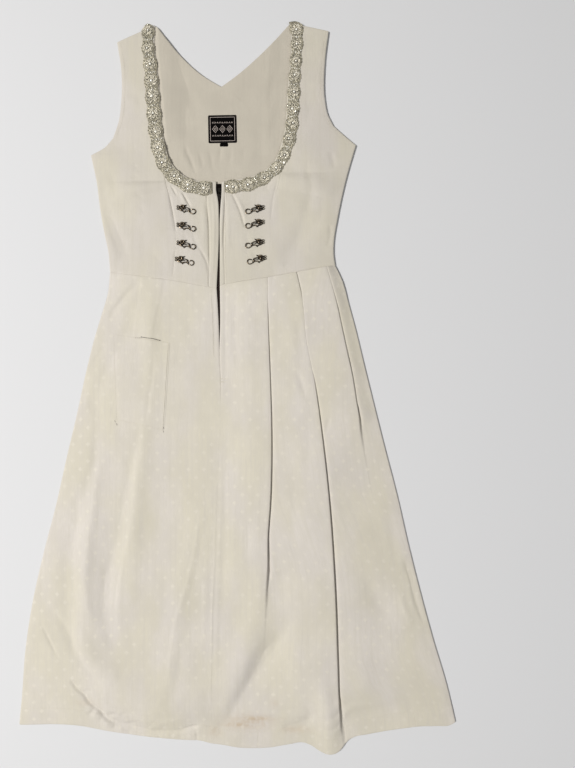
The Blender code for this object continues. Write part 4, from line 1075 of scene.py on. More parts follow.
# Near-black colour for the discs under the rosettes: painted shade in the hollows of the lace.
BRAID_PAINTED_SHADE = thread_material("braid_painted_shade_look", (0.075, 0.068, 0.048), 0.8, 0.0, 600.0, 0.5)
SILVER_NET = thread_material("silver_net_look", (0.47, 0.435, 0.34), 0.4, 0.15, 330.0, 0.45)
SILVER_WIRE = thread_material("silver_wire_look", (0.66, 0.615, 0.50), 0.36, 0.15, 330.0, 0.3)
SILVER_BEAD = thread_material("silver_bead_look", (0.90, 0.875, 0.79), 0.12, 0.1, 300.0, 0.1)
SILVER_FLAKE = thread_material("silver_flake_look", (0.84, 0.82, 0.76), 0.2, 1.0, 300.0, 0.05)
ANTIQUE = antique_material("antique_metal_look")
ZIP_CLOTH = thread_material("zip_tape_look", (0.005, 0.0036, 0.003), 0.95, shine=0.08)
ZIP_TEETH = thread_material("zip_teeth_look", (0.016, 0.007, 0.005), 0.6, 0.1, shine=0.2)
ZIP_METAL = thread_material("zip_metal_look", (0.05, 0.045, 0.04), 0.28, 0.9, 400.0, 0.2)
LABEL_SATIN = cloth_material("label_satin_look", (0.0025, 0.002, 0.002), 0.4, 0.7, sheen=0.0, shine=0.03)
LABEL_THREAD = thread_material("label_thread_look", (0.62, 0.54, 0.49), 0.5)


# ---------------------------------------------------------------- the back


def inset(plan, distance, centre):
    away = plan - centre
    reach = np.linalg.norm(away, axis=-1, keepdims=True)
    return centre + away * (1 - distance / np.maximum(reach, 60))


def back_half(neck, armhole, underarm, side, mirror, step):
    """One half of the back bodice, from its outer edge to the centre back."""
    down = (seam_shares(length_of(armhole), step), seam_shares(length_of(underarm), step),
            seam_shares(length_of(side), 4))
    outer = edge((armhole, down[0]), (underarm, down[1]), (side, down[2]))
    centre = [Point(CENTRE_BACK_X, neck[-1].y), Point(CENTRE_BACK_X, 300), Point(CENTRE_BACK_X, 16)]
    inner = edge((neck, down[0]), (centre[:2], down[1]), (centre[1:], down[2]))
    left, right = (outer, inner) if mirror < 0 else (inner, outer)
    widest = len(down[0]) + len(down[1]) - 2
    across = seam_shares(length_of([left[widest], right[widest]]), step)
    spread = np.linspace(0, 1, len(left))
    return fill(between(left[0], right[0], across), between(left[-1], right[-1], across), left, right,
                across, spread)


def at_centre_back(points):
    return (np.abs(points[:, 0] - CENTRE_BACK_X) < 0.6) & (points[:, 1] < BACK_NECK_LEFT[-1].y)


def neck_lift(x, y):
    """How far the lining rises to meet the left neck edge, and puffs up beside it."""
    away = x - side_x(y, SCOOP_LEFT)
    room = np.maximum(front_bottom(x, y, BODICE_CREASES) - 0.4 - LINING_BOTTOM - LINING, 0)
    under = room * soft_step((away + 25) / 25) * (1 - soft_step((away - 8) / 52))
    puff = 2.0 * soft_step((away - 0.8) / 5.0) * (1 - soft_step((away - 8) / 48))
    return (under + puff) * soft_step((y - 225) / 35)


def make_back_bodice():
    for side, mirror, parts in (
        ("left", -1, (BACK_NECK_LEFT, ARMHOLE_LEFT, UNDERARM_LEFT, SIDE_LEFT)),
        ("right", 1, (BACK_NECK_RIGHT, ARMHOLE_RIGHT, UNDERARM_RIGHT, SIDE_RIGHT)),
    ):
        plan = back_half(*parts, mirror, 4.5)
        flat = np.zeros(plan.shape[:2])
        lower = np.dstack([plan, flat])
        upper = np.dstack([plan, roll_down(flat + CLOTH, plan, ("left", "right"), 0.15)])
        outside = shell(f"back_bodice_half_{side}", lower, upper, BODICE_CLOTH)
        lined = inset(back_half(*parts, mirror, 2.1), 1.2, np.array([3.0, 200.0]))
        flat = np.zeros(lined.shape[:2])
        rise = crease_height(lined[..., 0], lined[..., 1], LINING_CREASES) + 0.5 * ripple(lined[..., 0],
                lined[..., 1])
        neck_side = "right" if mirror < 0 else "left"
        open_neck = soft_step((lined[..., 1] - 178) / 20) * soft_step((100 - np.abs(lined[..., 0] - 5))
                / 25)
        rise = np.maximum(np.clip(rise + 1.6, 0, 3.0) * open_neck, neck_lift(lined[..., 0], lined[..., 1]))
        low = np.dstack([lined, flat + LINING_BOTTOM])
        dip = 0.2 * (lined[..., 1] > BACK_NECK_LEFT[-1].y)
        top = np.dstack([lined, roll_down(flat + LINING_BOTTOM + LINING + rise, lined, (neck_side,), dip)])
        lining = shell(f"back_lining_half_{side}", low, top, LINING_CLOTH, joined=at_centre_back)
        dress_cloth(outside, "back_bodice")
        dress_cloth(lining, "back_lining")


def make_back_skirt():
    down = seam_shares(length_of(SKIRT_SIDE_LEFT), 16)
    across = seam_shares(length_of(BACK_HEM), 14)
    top = edge((moved(BACK_WAIST, up=-GAP), across))
    top[0, 0] += BACK_SKIRT_INSET
    top[-1, 0] -= BACK_SKIRT_INSET
    bottom = edge((BACK_HEM, across))
    left = edge((moved(SKIRT_SIDE_LEFT, right=BACK_SKIRT_INSET), down))
    right = edge((moved(SKIRT_SIDE_RIGHT, right=-BACK_SKIRT_INSET), down))
    for side, end in ((left, 0), (right, -1)):
        side[0] = top[end]
        side[-1] = bottom[end]
    plan = fill(top, bottom, left, right, across, down)
    flat = np.zeros(plan.shape[:2])
    piece = shell("back_skirt_panel", np.dstack([plan, flat]), np.dstack([plan, flat + CLOTH]), SKIRT_CLOTH)
    dress_cloth(piece, "back_skirt")


# ---------------------------------------------------------------- the front bodice


def front_panel(name, node, plan, rolls, joined=None):
    """A thin shell on one front panel. `rolls` are (edges, drop) pairs for its seams and folds."""
    bottom = front_bottom(plan[..., 0], plan[..., 1], BODICE_CREASES)
    for edges, drop in rolls:
        bottom = roll_down(bottom, plan, edges, drop)
    lower = np.dstack([plan, bottom])
    upper = np.dstack([plan, bottom + CLOTH])
    piece = shell(name, lower, upper, BODICE_CLOTH, joined=joined)
    dress_cloth(piece, node)


SEAM = 0.55
FLAT_SEAM = 0.03
CLOSED_GAP = 0.03
# Above these heights the side seams of the front's centre panels stand open enough to show as a line.
PRINCESS_OPEN = {"left": 80, "right": 600}
PRINCESS_DEPTH = {"left": SEAM, "right": 0.22}
FREE_EDGE = 0.35
FINE_STEP = 1.35


def princess_line(side, line, offset):
    """The seam moved aside by half of its gap, and nearly closed where it doesn't show."""
    return [Point(point.x + (offset if point.y > PRINCESS_OPEN[side]
                             else math.copysign(CLOSED_GAP, offset)), point.y)
            for point in line]


def princess_depth(side, y):
    low = 90 if side == "left" else 120
    return FLAT_SEAM + PRINCESS_DEPTH[side] * soft_step((y - low) / 45)


def at_princess_seam(side, line):
    """A test for rim points on the closed part of the seam."""
    def closed(points):
        away = points[:, 0] - side_x(points[:, 1], line)
        return (np.abs(away) < 0.6) & (points[:, 1] < PRINCESS_OPEN[side])
    return closed


def make_front_bodice():
    half = GAP / 2 + 0.05
    side_down = [seam_shares(length_of(part)) for part in (ARMHOLE_LEFT, UNDERARM_LEFT, SIDE_LEFT)]
    fine_down = seam_shares(length_of(PLACKET_LEFT), FINE_STEP)
    for name, armhole, underarm, side, scoop, princess, sign in (
        ("left", ARMHOLE_LEFT, UNDERARM_LEFT, SIDE_LEFT, SCOOP_LEFT, PRINCESS_LEFT, -1),
        ("right", ARMHOLE_RIGHT, UNDERARM_RIGHT, SIDE_RIGHT, SCOOP_RIGHT, PRINCESS_RIGHT, 1),
    ):
        outer = edge((armhole, side_down[0]), (underarm, side_down[1]), (side, side_down[2]))
        upper_count = len(side_down[0]) + len(side_down[1]) - 1
        upper_shares = np.linspace(0, 1, upper_count)
        inner = edge((moved(scoop, sign * half), upper_shares),
                     (princess_line(name, princess, sign * half), side_down[2]))
        ends = (inner, outer) if sign > 0 else (outer, inner)
        across = seam_shares(length_of([ends[0][-1], ends[1][-1]]))
        top = between(ends[0][0], ends[1][0], across)
        bottom = between(ends[0][-1], ends[1][-1], across)
        plan = fill(top, bottom, *ends, across, np.linspace(0, 1, len(outer)))
        inner_edge, outer_edge = ("left", "right") if sign > 0 else ("right", "left")
        front_panel(f"front_side_panel_{name}", f"front_side_{name}", plan,
                    ((("bottom",), SEAM), ((inner_edge,), princess_depth(name, plan[..., 1])),
                     (("top", outer_edge), FREE_EDGE)), joined=at_princess_seam(name, princess))
    for name, princess, placket, sign in (("left", PRINCESS_LEFT, PLACKET_LEFT, 1),
                                          ("right", PRINCESS_RIGHT, PLACKET_RIGHT, -1)):
        seam = edge((princess_line(name, princess, sign * half), fine_down))
        strip = edge((moved(placket, -sign * half), fine_down))
        left, right = (seam, strip) if sign > 0 else (strip, seam)
        seam_edge, strip_edge = ("left", "right") if sign > 0 else ("right", "left")
        across = seam_shares(length_of([left[-1], right[-1]]), FINE_STEP)
        if sign > 0:
            top = edge((SCOOP_LEFT_LOW, across))
        else:
            top = edge((list(reversed(SCOOP_RIGHT_LOW)), 1 - across[::-1]))
        top[0], top[-1] = left[0], right[0]
        down = np.linspace(0, 1, len(left))
        plan = fill(top, between(left[-1], right[-1], across), left, right, across, down)
        front_panel(f"front_centre_panel_{name}", f"front_centre_{name}", plan,
                    ((("bottom", strip_edge), SEAM), ((seam_edge,), princess_depth(name, plan[..., 1])),
                     (("top",), FREE_EDGE)), joined=at_princess_seam(name, princess))
    for name, ends, folded in (("left", (moved(PLACKET_LEFT, half), SLIT_LEFT), "right"),
                               ("right", (SLIT_RIGHT, moved(PLACKET_RIGHT, -half)), "left")):
        left = edge((ends[0], fine_down))
        right = edge((ends[1], fine_down))
        across = seam_shares(length_of([left[-1], right[-1]]), 1.2)
        plan = fill(between(left[0], right[0], across), between(left[-1], right[-1], across), left, right,
                    across,
                    np.linspace(0, 1, len(left)))
        joined = "left" if folded == "right" else "right"
        front_panel(f"placket_panel_{name}", f"placket_{name}", plan,
                    ((("bottom", joined), SEAM), (("top", folded), FREE_EDGE)))


# ---------------------------------------------------------------- the skirt


def skirt_rows(length, step):
    """Shares of the skirt's length, closer together towards the hem."""
    t = np.linspace(0, 1, int(length / step))
    shares = 0.8 * t + 0.2 * np.sin(t * math.pi / 2)
    return np.concatenate([[0, 0.45 / length, 1.1 / length], shares[1:-1],
                           [1 - 1.1 / length, 1 - 0.45 / length, 1]])


def skirt_y(line, x):
    return smooth_values([point.x for point in line], [point.y for point in line], x)


def hem_band(away):
    """The turned-up hem's extra thickness, from how far a point is above the hem."""
    return 0.32 * soft_step((HEM_DEPTH + 1.6 - away) / 3.2)


def stain_on(piece, points, marks):
    """Paints soft marks of (x, y, reach across, reach down, strength) as a value on each point."""
    flat = points.reshape(-1, 3)
    value = np.zeros(len(flat))
    for x, y, across, down, strength in marks:
        away = ((flat[:, 0] - x) / across) ** 2 + ((flat[:, 1] - y) / down) ** 2
        value = np.maximum(value, strength * np.exp(-away))
    full = np.zeros(len(piece.data.vertices), np.float32)
    full[: len(value)] = value
    attribute = piece.data.attributes.new("stain", "FLOAT", "POINT")
    attribute.data.foreach_set("value", full)


def at_centre_seam(points):
    away = points[:, 0] - side_x(points[:, 1], CENTRE_SEAM_LEFT)
    return (np.abs(away) < 1.2) & (points[:, 1] < -190)


def seam_depth(y):
    """The centre seam's dip: full beside the zip, nearly flat below its end."""
    return FLAT_SEAM + (SEAM - FLAT_SEAM) * soft_step((y + 205) / 50)


STAINS = [(60, -727, 30, 4, 0.95), (34, -738, 28, 4, 0.9), (48, -733, 40, 13, 0.55),
          (128, -745, 24, 7, 0.4),
          (-8, -748, 12, 9, 0.4), (-226, -700, 16, 6, 0.25), (92, -700, 8, 9, 0.25)]


def make_front_skirt_left():
    shares = skirt_rows(SKIRT_LENGTH, CLOTH_STEP)
    left = walk(moved(SKIRT_SIDE_LEFT, up=-GAP), shares)
    right = walk(moved(CENTRE_SEAM_LEFT, up=-GAP), shares)
    u = seam_shares(length_of(HEM_LEFT))[None]
    x = left[:, :1] + (right[:, :1] - left[:, :1]) * u
    y = left[:, 1:] + (right[:, 1:] - left[:, 1:]) * u
    waist = np.interp(x[0], *zip(*WAIST_LEFT)) - GAP - y[0]
    hem = skirt_y(HEM_LEFT, x[-1])
    y = y + (1 - shares[:, None]) ** 2 * waist[None] + shares[:, None] ** 2 * (hem - y[-1])[None]
    plan = np.dstack([x, y])
    bottom = front_bottom(x, y, SKIRT_LEFT_CREASES)
    bottom = roll_down(bottom, plan, ("top",), SEAM)
    bottom = roll_down(bottom, plan, ("right",), seam_depth(y))
    bottom = roll_down(bottom, plan, ("left", "bottom"), FREE_EDGE)
    upper = np.dstack([plan, bottom + CLOTH + hem_band(y - hem[None])])
    piece = shell("front_skirt_panel_left", np.dstack([plan, bottom]), upper, SKIRT_CLOTH,
                  joined=at_centre_seam)
    stain_on(piece, upper, STAINS)
    dress_cloth(piece, "front_skirt_left")
    return upper


def pleat_at(table, down):
    downs = [row.down for row in table]
    x = float(smooth_values(downs, [row.x for row in table], down))
    depth, turn, radius = (
        float(np.interp(down, downs, [getattr(row, name) for row in table]))
        for name in ("depth", "turn", "radius")
    )
    back = max(depth - 2 * radius, LEAST_RETURN)
    return Pleat(down, x, back, math.radians(turn), radius)


def drop_of(pleat):
    return 2 * pleat.radius * (1 - math.cos(pleat.turn)) + pleat.depth * math.sin(pleat.turn)


STRIP_STEPS = (36, 46, 36, 60)
STACK_STEPS = 4
TURN_STEPS = 6
RETURN_STEPS = 3


def pleated_row(left_x, right_x, down):
    """The cloth's middle line across one row: x, height, heading and whether it shows."""
    line = []
    start_x = left_x
    beside = opening = 0.0
    puff = 1.0
    pleats = [pleat_at(table, down) for table in PLEATS]
    for number, steps in enumerate(STRIP_STEPS):
        last = number == len(pleats)
        pleat = None if last else pleats[number]
        top = 0.0 if last else drop_of(pleat)
        end_x = right_x if last else pleat.x - pleat.radius * math.sin(min(pleat.turn, math.pi / 2))
        begin = start_x + (pleats[number - 1].depth if number else 0)
        finish = end_x - (0 if last else pleat.depth)
        marks = list(np.linspace(start_x, begin, STACK_STEPS + 1)[:-1]) if number else []
        shares = strip_shares(finish - begin, steps, DITCH if number else ROLL, ROLL if last else PLAIN)
        marks += list(begin + (finish - begin) * shares)
        if not last:
            marks += list(np.linspace(finish, end_x, STACK_STEPS + 1)[1:])
        for x in marks:
            settled = soft_step((x - begin) / (finish - begin))
            ditch = beside * (1 - math.exp(-max(x - begin - opening, 0) / puff))
            line.append((x, top * settled + ditch * (1 - settled), 0.0, 1.0 if x >= begin else 0.0))
        if last:
            break
        table = np.array(PLEAT_OPENINGS[number])
        opening, rise, puff = (float(np.interp(down, table[:, 0], table[:, column]))
                               for column in (1, 2, 3))
        beside = top * rise * float(soft_step(pleat.turn - 1))
        x, height, heading = end_x, top, 0.0
        step = pleat.turn / TURN_STEPS
        reach = 2 * pleat.radius * math.sin(step / 2)
        pieces = [(-step, reach)] * TURN_STEPS
        pieces += [(0, pleat.depth / RETURN_STEPS)] * RETURN_STEPS
        pieces += [(step, reach)] * TURN_STEPS
        flat_share = float(soft_step((1.3 - pleat.turn) / 0.7))
        for place, (bend, length) in enumerate(pieces):
            x += length * math.cos(heading + bend / 2)
            height += length * math.sin(heading + bend / 2)
            heading += bend
            if place < len(pieces) - 1:
                line.append((x, height, heading, flat_share))
        start_x = x
    return np.array(line)


def make_front_skirt_right():
    shares = skirt_rows(SKIRT_LENGTH, 2.5)
    left = walk(moved(CENTRE_SEAM_RIGHT, up=-GAP), shares)
    right = walk(moved(SKIRT_SIDE_RIGHT, up=-GAP), shares)
    rows = np.array([pleated_row(start[0], end[0], share * SKIRT_LENGTH)
                     for share, start, end in zip(shares, left, right)])
    path_x = rows[..., 0]
    u = (path_x - left[:, :1]) / (right[:, :1] - left[:, :1])
    hem_x = left[-1, 0] + (right[-1, 0] - left[-1, 0]) * u
    hem_y = skirt_y(HEM_RIGHT, hem_x)
    chord = left[-1, 1] + (right[-1, 1] - left[-1, 1]) * u
    waist_x = left[0, 0] + (right[0, 0] - left[0, 0]) * u
    waist = np.interp(waist_x, *zip(*WAIST_RIGHT)) - GAP - left[0, 1] - (right[0, 1] - left[0, 1]) * u
    share = shares[:, None]
    y = left[:, 1:] + (right[:, 1:] - left[:, 1:]) * u + (1 - share) ** 2 * waist + share**2 * (hem_y
            - chord)
    across = -np.sin(rows[..., 2]) * CLOTH / 2
    rise = np.cos(rows[..., 2]) * CLOTH / 2
    middle = np.dstack([path_x, y])
    base = front_bottom(path_x, y, SKIRT_RIGHT_CREASES) + CLOTH / 2 + rows[..., 1]
    base = roll_down(base, middle, ("top",), SEAM)
    base = roll_down(base, middle, ("left",), seam_depth(y))
    base = roll_down(base, middle, ("right", "bottom"), FREE_EDGE)
    lower = np.dstack([path_x - across, y, base - rise])
    upper = np.dstack([path_x + across, y, base + rise])
    upper[..., 2] += hem_band(y - hem_y) * np.maximum(np.cos(rows[..., 2]), 0) * rows[..., 3]
    steps = np.hypot(np.diff(path_x, axis=1), np.diff(base, axis=1))
    run = np.concatenate([np.zeros((len(shares), 1)), np.cumsum(steps, axis=1)], axis=1)
    uv = np.dstack([left[:, :1] + run, y])
    piece = shell("front_skirt_panel_right", lower, upper, SKIRT_CLOTH, uv, coarse=(4, 1),
                  joined=at_centre_seam)
    stain_on(piece, upper, STAINS)
    dress_cloth(piece, "front_skirt_right")
    return upper, rows[..., 3]


def make_pocket():
    corners = np.array(POCKET, float)
    across = seam_shares(length_of(corners[:2]), 3)
    down = seam_shares(length_of([corners[0], corners[3]]), 3)
    top = between(corners[0], corners[1], across)
    bottom = between(corners[3], corners[2], across)
    plan = fill(top, bottom, between(corners[0], corners[3], down), between(corners[1], corners[2], down),
                across, down)
    under = front_top(plan[..., 0], plan[..., 1], SKIRT_LEFT_CREASES)
    base = roll_down(under + 0.05, plan, ("left", "bottom"), POCKET_SINK, 13)
    base = roll_down(base, plan, ("right",), 0.3 + 0.07 * soft_step((-180 - plan[..., 1]) / 40), 3)
    lift = 0.7 * np.exp(-((plan[..., 0] + 117) / 22) ** 2) * np.exp((plan[..., 1] + 92) / 7)
    base = base + np.minimum(lift, 0.7)
    corner = np.array(POCKET[3], float)
    side_edge = np.array(POCKET[0], float) - corner
    low_edge = np.array(POCKET[2], float) - corner

    def pressed_flat(points):
        """The pocket's left and bottom edges, which lie pressed into the skirt."""
        away = points[:, :2] - corner
        return np.minimum(np.abs(away @ (-side_edge[1], side_edge[0])) / np.linalg.norm(side_edge),
                          np.abs(away @ (-low_edge[1], low_edge[0])) / np.linalg.norm(low_edge)) < 0.5

    piece = shell("pocket_patch", np.dstack([plan, base]), np.dstack([plan, base + 0.35]), SKIRT_CLOTH,
                  joined=pressed_flat)
    dress_cloth(piece, "pocket")
    threads = Batch()
    line = walk(POCKET_OPENING, np.linspace(0, 1, 24))
    height = front_top(line[:, 0], line[:, 1], SKIRT_LEFT_CREASES) + 1.1
    path = np.column_stack([line[:, 0], line[:, 1] + 1.2 + 0.25 * np.sin(line[:, 0] / 3.1), height])
    threads.tube(path, 0.4)
    for spot in (path[0], path[-1]):
        threads.ball(spot, (0.9, 0.8, 0.6), template=SMALL_BALL)
    for x in (-141, -137.5, -134.5):
        threads.tube([(x, -87.2, path[0, 2] - 0.1), (x + 1.5, -87.4, path[0, 2] - 0.05)], 0.22, 4)
    for x, y, size in ((-176, -226, 0.2), (-173, -231, 0.28), (-94, -237, 0.26), (-94.5, -243, 0.2)):
        height = float(front_top(np.array([x]), np.array([y]), SKIRT_LEFT_CREASES)[0]) + 0.4
        threads.tube([(x, y, height), (x + 0.7, y - 1.2, height + 0.2), (x + 1.0, y - 3.0, height)], size)
    threads.build("pocket_tack_thread", DARK_THREAD, "skirt_cloth")


# ---------------------------------------------------------------- sewing


def add_stitches(batch, line, pitch=3.2, share=0.72, radius=0.24, sink=0.12):
    """A row of stitches that dip into the cloth at both ends, along a line of surface points."""
    line = np.asarray(line, float)
    total = length_of(line)
    count = max(int(total / pitch), 1)
    run = run_along(line)
    for i in range(count):
        middle = (i + 0.5) * total / count
        at = middle + np.array([-0.5, -0.25, 0.25, 0.5]) * pitch * share
        path = np.column_stack([np.interp(at, run, line[:, k]) for k in range(3)])
        path[:, 2] += (-sink, radius * 0.7, radius * 0.7, -sink)
        batch.tube(path, radius, sides=4)


def surface_line(points, creases, lift=0.0, steps=60):
    line = walk(points, np.linspace(0, 1, steps))
    return np.column_stack([line, front_top(line[:, 0], line[:, 1], creases) + lift])


def make_stitching(skirt_left, skirt_right, shows):
    """The stitches beside the zip, on the plackets, pocket, armholes and hem, and the bar tacks."""
    batch = Batch()
    for seam, offset in ((CENTRE_SEAM_LEFT[:3], -9.5), (CENTRE_SEAM_RIGHT[:3], 9.5)):
        add_stitches(batch, surface_line(moved(seam, offset, -2), SKIRT_LEFT_CREASES if offset < 0
                                         else SKIRT_RIGHT_CREASES, 0.1))
    for line, offset in ((PLACKET_LEFT, -2.2), (PLACKET_RIGHT, 2.2)):
        add_stitches(batch, surface_line(moved(line, offset)[:-1]
                                         + [Point(line[-1].x + offset, line[-1].y + 4)],
                                         BODICE_CREASES, 0.05))
    corners = [Point(point.x + dx, point.y + dy) for point, dx, dy in
               zip(POCKET, (3, -3, -3, 3), (-2, -2, 3, 3))]
    add_stitches(batch, surface_line([corners[2], corners[1]], SKIRT_LEFT_CREASES, 0.6))
    for first, last in ((corners[0], corners[3]), (corners[3], corners[2])):
        add_stitches(batch, surface_line([first, last], SKIRT_LEFT_CREASES, 0.26), radius=0.12)
    batch.build("topstitching", THREAD, "bodice_cloth")
    edges = Batch()
    for line, offset in ((ARMHOLE_LEFT, 5.5), (ARMHOLE_RIGHT, -5.5)):
        add_stitches(edges, surface_line(moved(line, offset), BODICE_CREASES, 0.0), 3.0)
    edges.build("armhole_stitching", THREAD, "bodice_cloth")
    hem = Batch()

    def stitch_hem(stretch):
        if len(stretch) > 4:
            add_stitches(hem, stretch[1:-1], 6.0, 0.35)

    for grid, mask in ((skirt_left, None), (skirt_right, shows)):
        away = grid[..., 1] - grid[-1:, :, 1]
        row = np.argmin(np.abs(away - HEM_DEPTH), axis=0)
        fold_line = grid[row, np.arange(grid.shape[1])]
        keep = np.ones(len(fold_line), bool) if mask is None else mask[row, np.arange(grid.shape[1])] > 0.5
        stretch = []
        for point, shown in zip(fold_line, keep):
            if shown:
                stretch.append(point)
                continue
            stitch_hem(stretch)
            stretch = []
        stitch_hem(stretch)
    hem.build("hem_stitching", THREAD, "skirt_cloth")
    bars = Batch()
    for y in (-156, -161):
        line = surface_line([Point(-1, y), Point(7, y), Point(14, y)], SKIRT_RIGHT_CREASES, 0.15, 12)
        bars.tube(line, 0.55)
    bars.build("zip_bar_tacks", THREAD, "skirt_cloth")


# ---------------------------------------------------------------- braid


def braid_frame(points):
    """The braid's middle line: places along it, the direction at each, and the distance run."""
    dense = walk(points, np.linspace(0, 1, 400))
    run = run_along(dense)
    ahead = np.gradient(dense, axis=0)
    ahead /= np.linalg.norm(ahead, axis=1, keepdims=True)
    return dense, ahead, run


def braid_points(track, along, aside, lift):
    """Points on the braid from distances along and across it, lifted above the cloth."""
    dense, ahead, run = track
    along = np.asarray(along, float)
    aside = np.asarray(aside, float)
    x = np.interp(along, run, dense[:, 0])
    y = np.interp(along, run, dense[:, 1])
    dx = np.interp(along, run, ahead[:, 0])
    dy = np.interp(along, run, ahead[:, 1])
    x = x - dy * aside
    y = y + dx * aside
    return np.column_stack([x, y, bodice_top(x, y) + BRAID_CLEAR + lift])


def make_braid(side, points):
    track = braid_frame(points)
    total = track[2][-1]
    count = round(total / ROSETTE_PITCH)
    pitch = total / count
    widths = np.array(BRAID_HALF_WIDTHS[side])
    ends = np.array(BRAID_TOPS[side])
    draw = random.Random(11 if side == "left" else 12)

    def half(along):
        y = np.interp(along, track[2], track[0][:, 1])
        return np.interp(y, widths[:, 0], widths[:, 1]) + 1.3 * np.cos(2 * math.pi * (along / pitch - 0.5))

    def spot(along, aside, lift):
        """Points on the braid, kept inside its rounded top end and its lower end."""
        along = np.asarray(along, float)
        aside = np.asarray(aside, float)
        top = np.interp(aside / half(along), ends[:, 0], ends[:, 1])
        return braid_points(track, np.clip(along, top + 0.3, total - 0.5), aside, lift)

    rows = int(total / 2.0)
    at = np.linspace(0, total, rows)
    shares = np.linspace(-1, 1, 11)
    drop = np.interp(shares, ends[:, 0], ends[:, 1])
    low = np.array([braid_points(track, along + drop * np.clip(1 - along / BRAID_TOP_FADE, 0, 1),
                                 shares * (half(along) - 0.3), np.zeros(11)) for along in at])
    high = low + (0, 0, BRAID_THICK * 0.6)
    high[:, 1:-1, 2] += 0.2
    if side == "left":
        low, high = low[:, ::-1], high[:, ::-1]
    # The tape's dark colour is painted shade between the net and rosette wires.
    tape = shell(f"braid_tape_{side}", low, high, SILVER_TAPE_PAINTED_SHADE)
    face_outward(tape)
    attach(tape, BODY)
    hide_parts(f"braid_{side}")
    ground = BRAID_THICK * 0.8
    net = Batch()
    for sign in (-1, 1):
        edge_at = np.arange(0, total, 1.2)
        wave = np.sin(edge_at * 2 * math.pi / 5.6)
        net.tube(spot(edge_at, sign * (half(edge_at) - 0.4 + 0.7 * wave), ground), 0.45, 4)
        net.tube(spot(edge_at, sign * (half(edge_at) - 2.2 - 0.6 * wave), ground), 0.36, 4)
    for i in range(int(total / NET_PITCH) + 3):
        for turn in (-1, 1):
            start = (i - 1 + draw.uniform(-0.2, 0.2)) * NET_PITCH
            run = start + np.linspace(-1, 1, 7) * 9.5 * turn
            aside = np.linspace(-1, 1, 7) * (half(np.clip(run, 0, total)) - 1.0)
            kept = (run > 0.4) & (run < total - 0.4)
            if kept.sum() > 1:
                height = ground + 0.25 * np.cos(np.linspace(0, 3 * math.pi, 7)) * turn
                net.tube(spot(run, aside, height)[kept], draw.uniform(0.5, 0.78), 4)
    net.build(f"braid_net_{side}", SILVER_NET, "silver_braid")
    # Dark discs under the rosettes, as painted shade for their hollows.
    shade = Batch()
    rosettes = Batch()
    beads = Batch()
    for i in range(count):
        middle = (i + 0.5) * pitch + draw.uniform(-2.4, 2.4)
        aside_middle = draw.uniform(-1.5, 1.5)
        start = draw.uniform(0, 6.28)
        size = draw.uniform(0.82, 1.06) * (half(middle) - 1.2) / 10.5
        petals = draw.choice((6, 7, 7))

        def place(radius, turn, lift):
            return spot(middle + radius * np.cos(turn), aside_middle + radius * np.sin(turn), lift)

        # A dark disc just under each rosette's petals: painted shade, not a part of the braid.
        t = np.linspace(0, 2 * math.pi, 33)[:-1]
        disc_edge = place(8.6 * size * (1 + 0.09 * np.cos(petals * (t - start))), t, ground + 0.45)
        disc = np.concatenate([disc_edge, place(np.array([0.0]), 0.0, ground + 0.6)])
        shade.add(disc, [(j, (j + 1) % 32, 32) for j in range(32)])
        for k in range(petals):
            turn = start + 2 * math.pi * k / petals + draw.uniform(-0.1, 0.1)
            outer = PETAL_OUTER * size * draw.uniform(0.92, 1.05)
            t = np.linspace(0, 2 * math.pi, 13)[:-1]
            radial = (PETAL_INNER + outer) / 2 + (outer - PETAL_INNER) / 2 * np.cos(t)
            sideways = math.pi * 6.2 * size / petals * 0.86 * np.sin(t) * (0.78 + 0.22 * np.cos(t))
            where = np.hypot(radial, sideways), turn + np.arctan2(sideways, radial)
            height = 1.35 + draw.uniform(-0.15, 0.25) + 0.5 * np.cos(t * 0.5) ** 2
            rosettes.tube(place(*where, height), draw.uniform(0.7, 1.0), 5, closed=True)
            if draw.random() < 0.45:
                seed = place(np.array([(PETAL_INNER + outer) / 2 + 0.4]), turn, 1.5)[0]
                beads.ball(seed, (0.85, 0.85, 0.7), template=SMALL_BALL)
            notch = place(np.array([outer * 0.98]), turn + math.pi / petals, 1.3)[0]
            beads.ball(notch, (0.62, 0.62, 0.5), template=SMALL_BALL)
        beads.ball(place(np.array([0.0]), 0.0, 2.2)[0], (2.3 * size, 2.3 * size, 1.5))
    for i in range(count + 1):
        middle = i * pitch
        for aside, size in ((-6.4, 0.8), (-3.6, 0.95), (-0.4, 1.5), (2.9, 1.0), (6.2, 0.85)):
            place_at = middle + draw.uniform(-1.6, 1.6)
            if 1.5 < place_at < total - 1.5:
                beads.ball(spot([place_at], [aside + draw.uniform(-0.8, 0.8)], 1.3)[0],
                           (size, size, size * 0.8), template=SMALL_BALL)
    flakes = Batch()
    for _ in range(int(total * 0.95)):
        along = draw.uniform(1.5, total - 1.5)
        centre = spot([along], [draw.uniform(-0.92, 0.92) * float(half(along))], draw.uniform(1.0, 1.6))[0]
        if draw.random() < 0.4:
            grain = draw.uniform(0.5, 0.95)
            beads.ball(centre, (grain, grain, grain), template=SMALL_BALL)
            continue
        reach = draw.uniform(0.55, 1.05)
        turn = draw.uniform(0, 6.28)
        lean = draw.uniform(0, 0.55)
        toward = draw.uniform(0, 6.28)
        corners = []
        for k in range(5):
            x = reach * math.cos(turn + 2 * math.pi * k / 5)
            y = reach * math.sin(turn + 2 * math.pi * k / 5)
            rise = math.tan(lean) * (x * math.cos(toward) + y * math.sin(toward))
            corners.append(centre + (x, y, rise))
        flakes.add(corners, [(0, 1, 2), (0, 2, 3), (0, 3, 4)])
    shade.build(f"braid_painted_shade_{side}", BRAID_PAINTED_SHADE, "silver_braid")
    rosettes.build(f"braid_rosettes_{side}", SILVER_WIRE, "silver_braid")
    beads.build(f"braid_beads_{side}", SILVER_BEAD, "silver_braid")
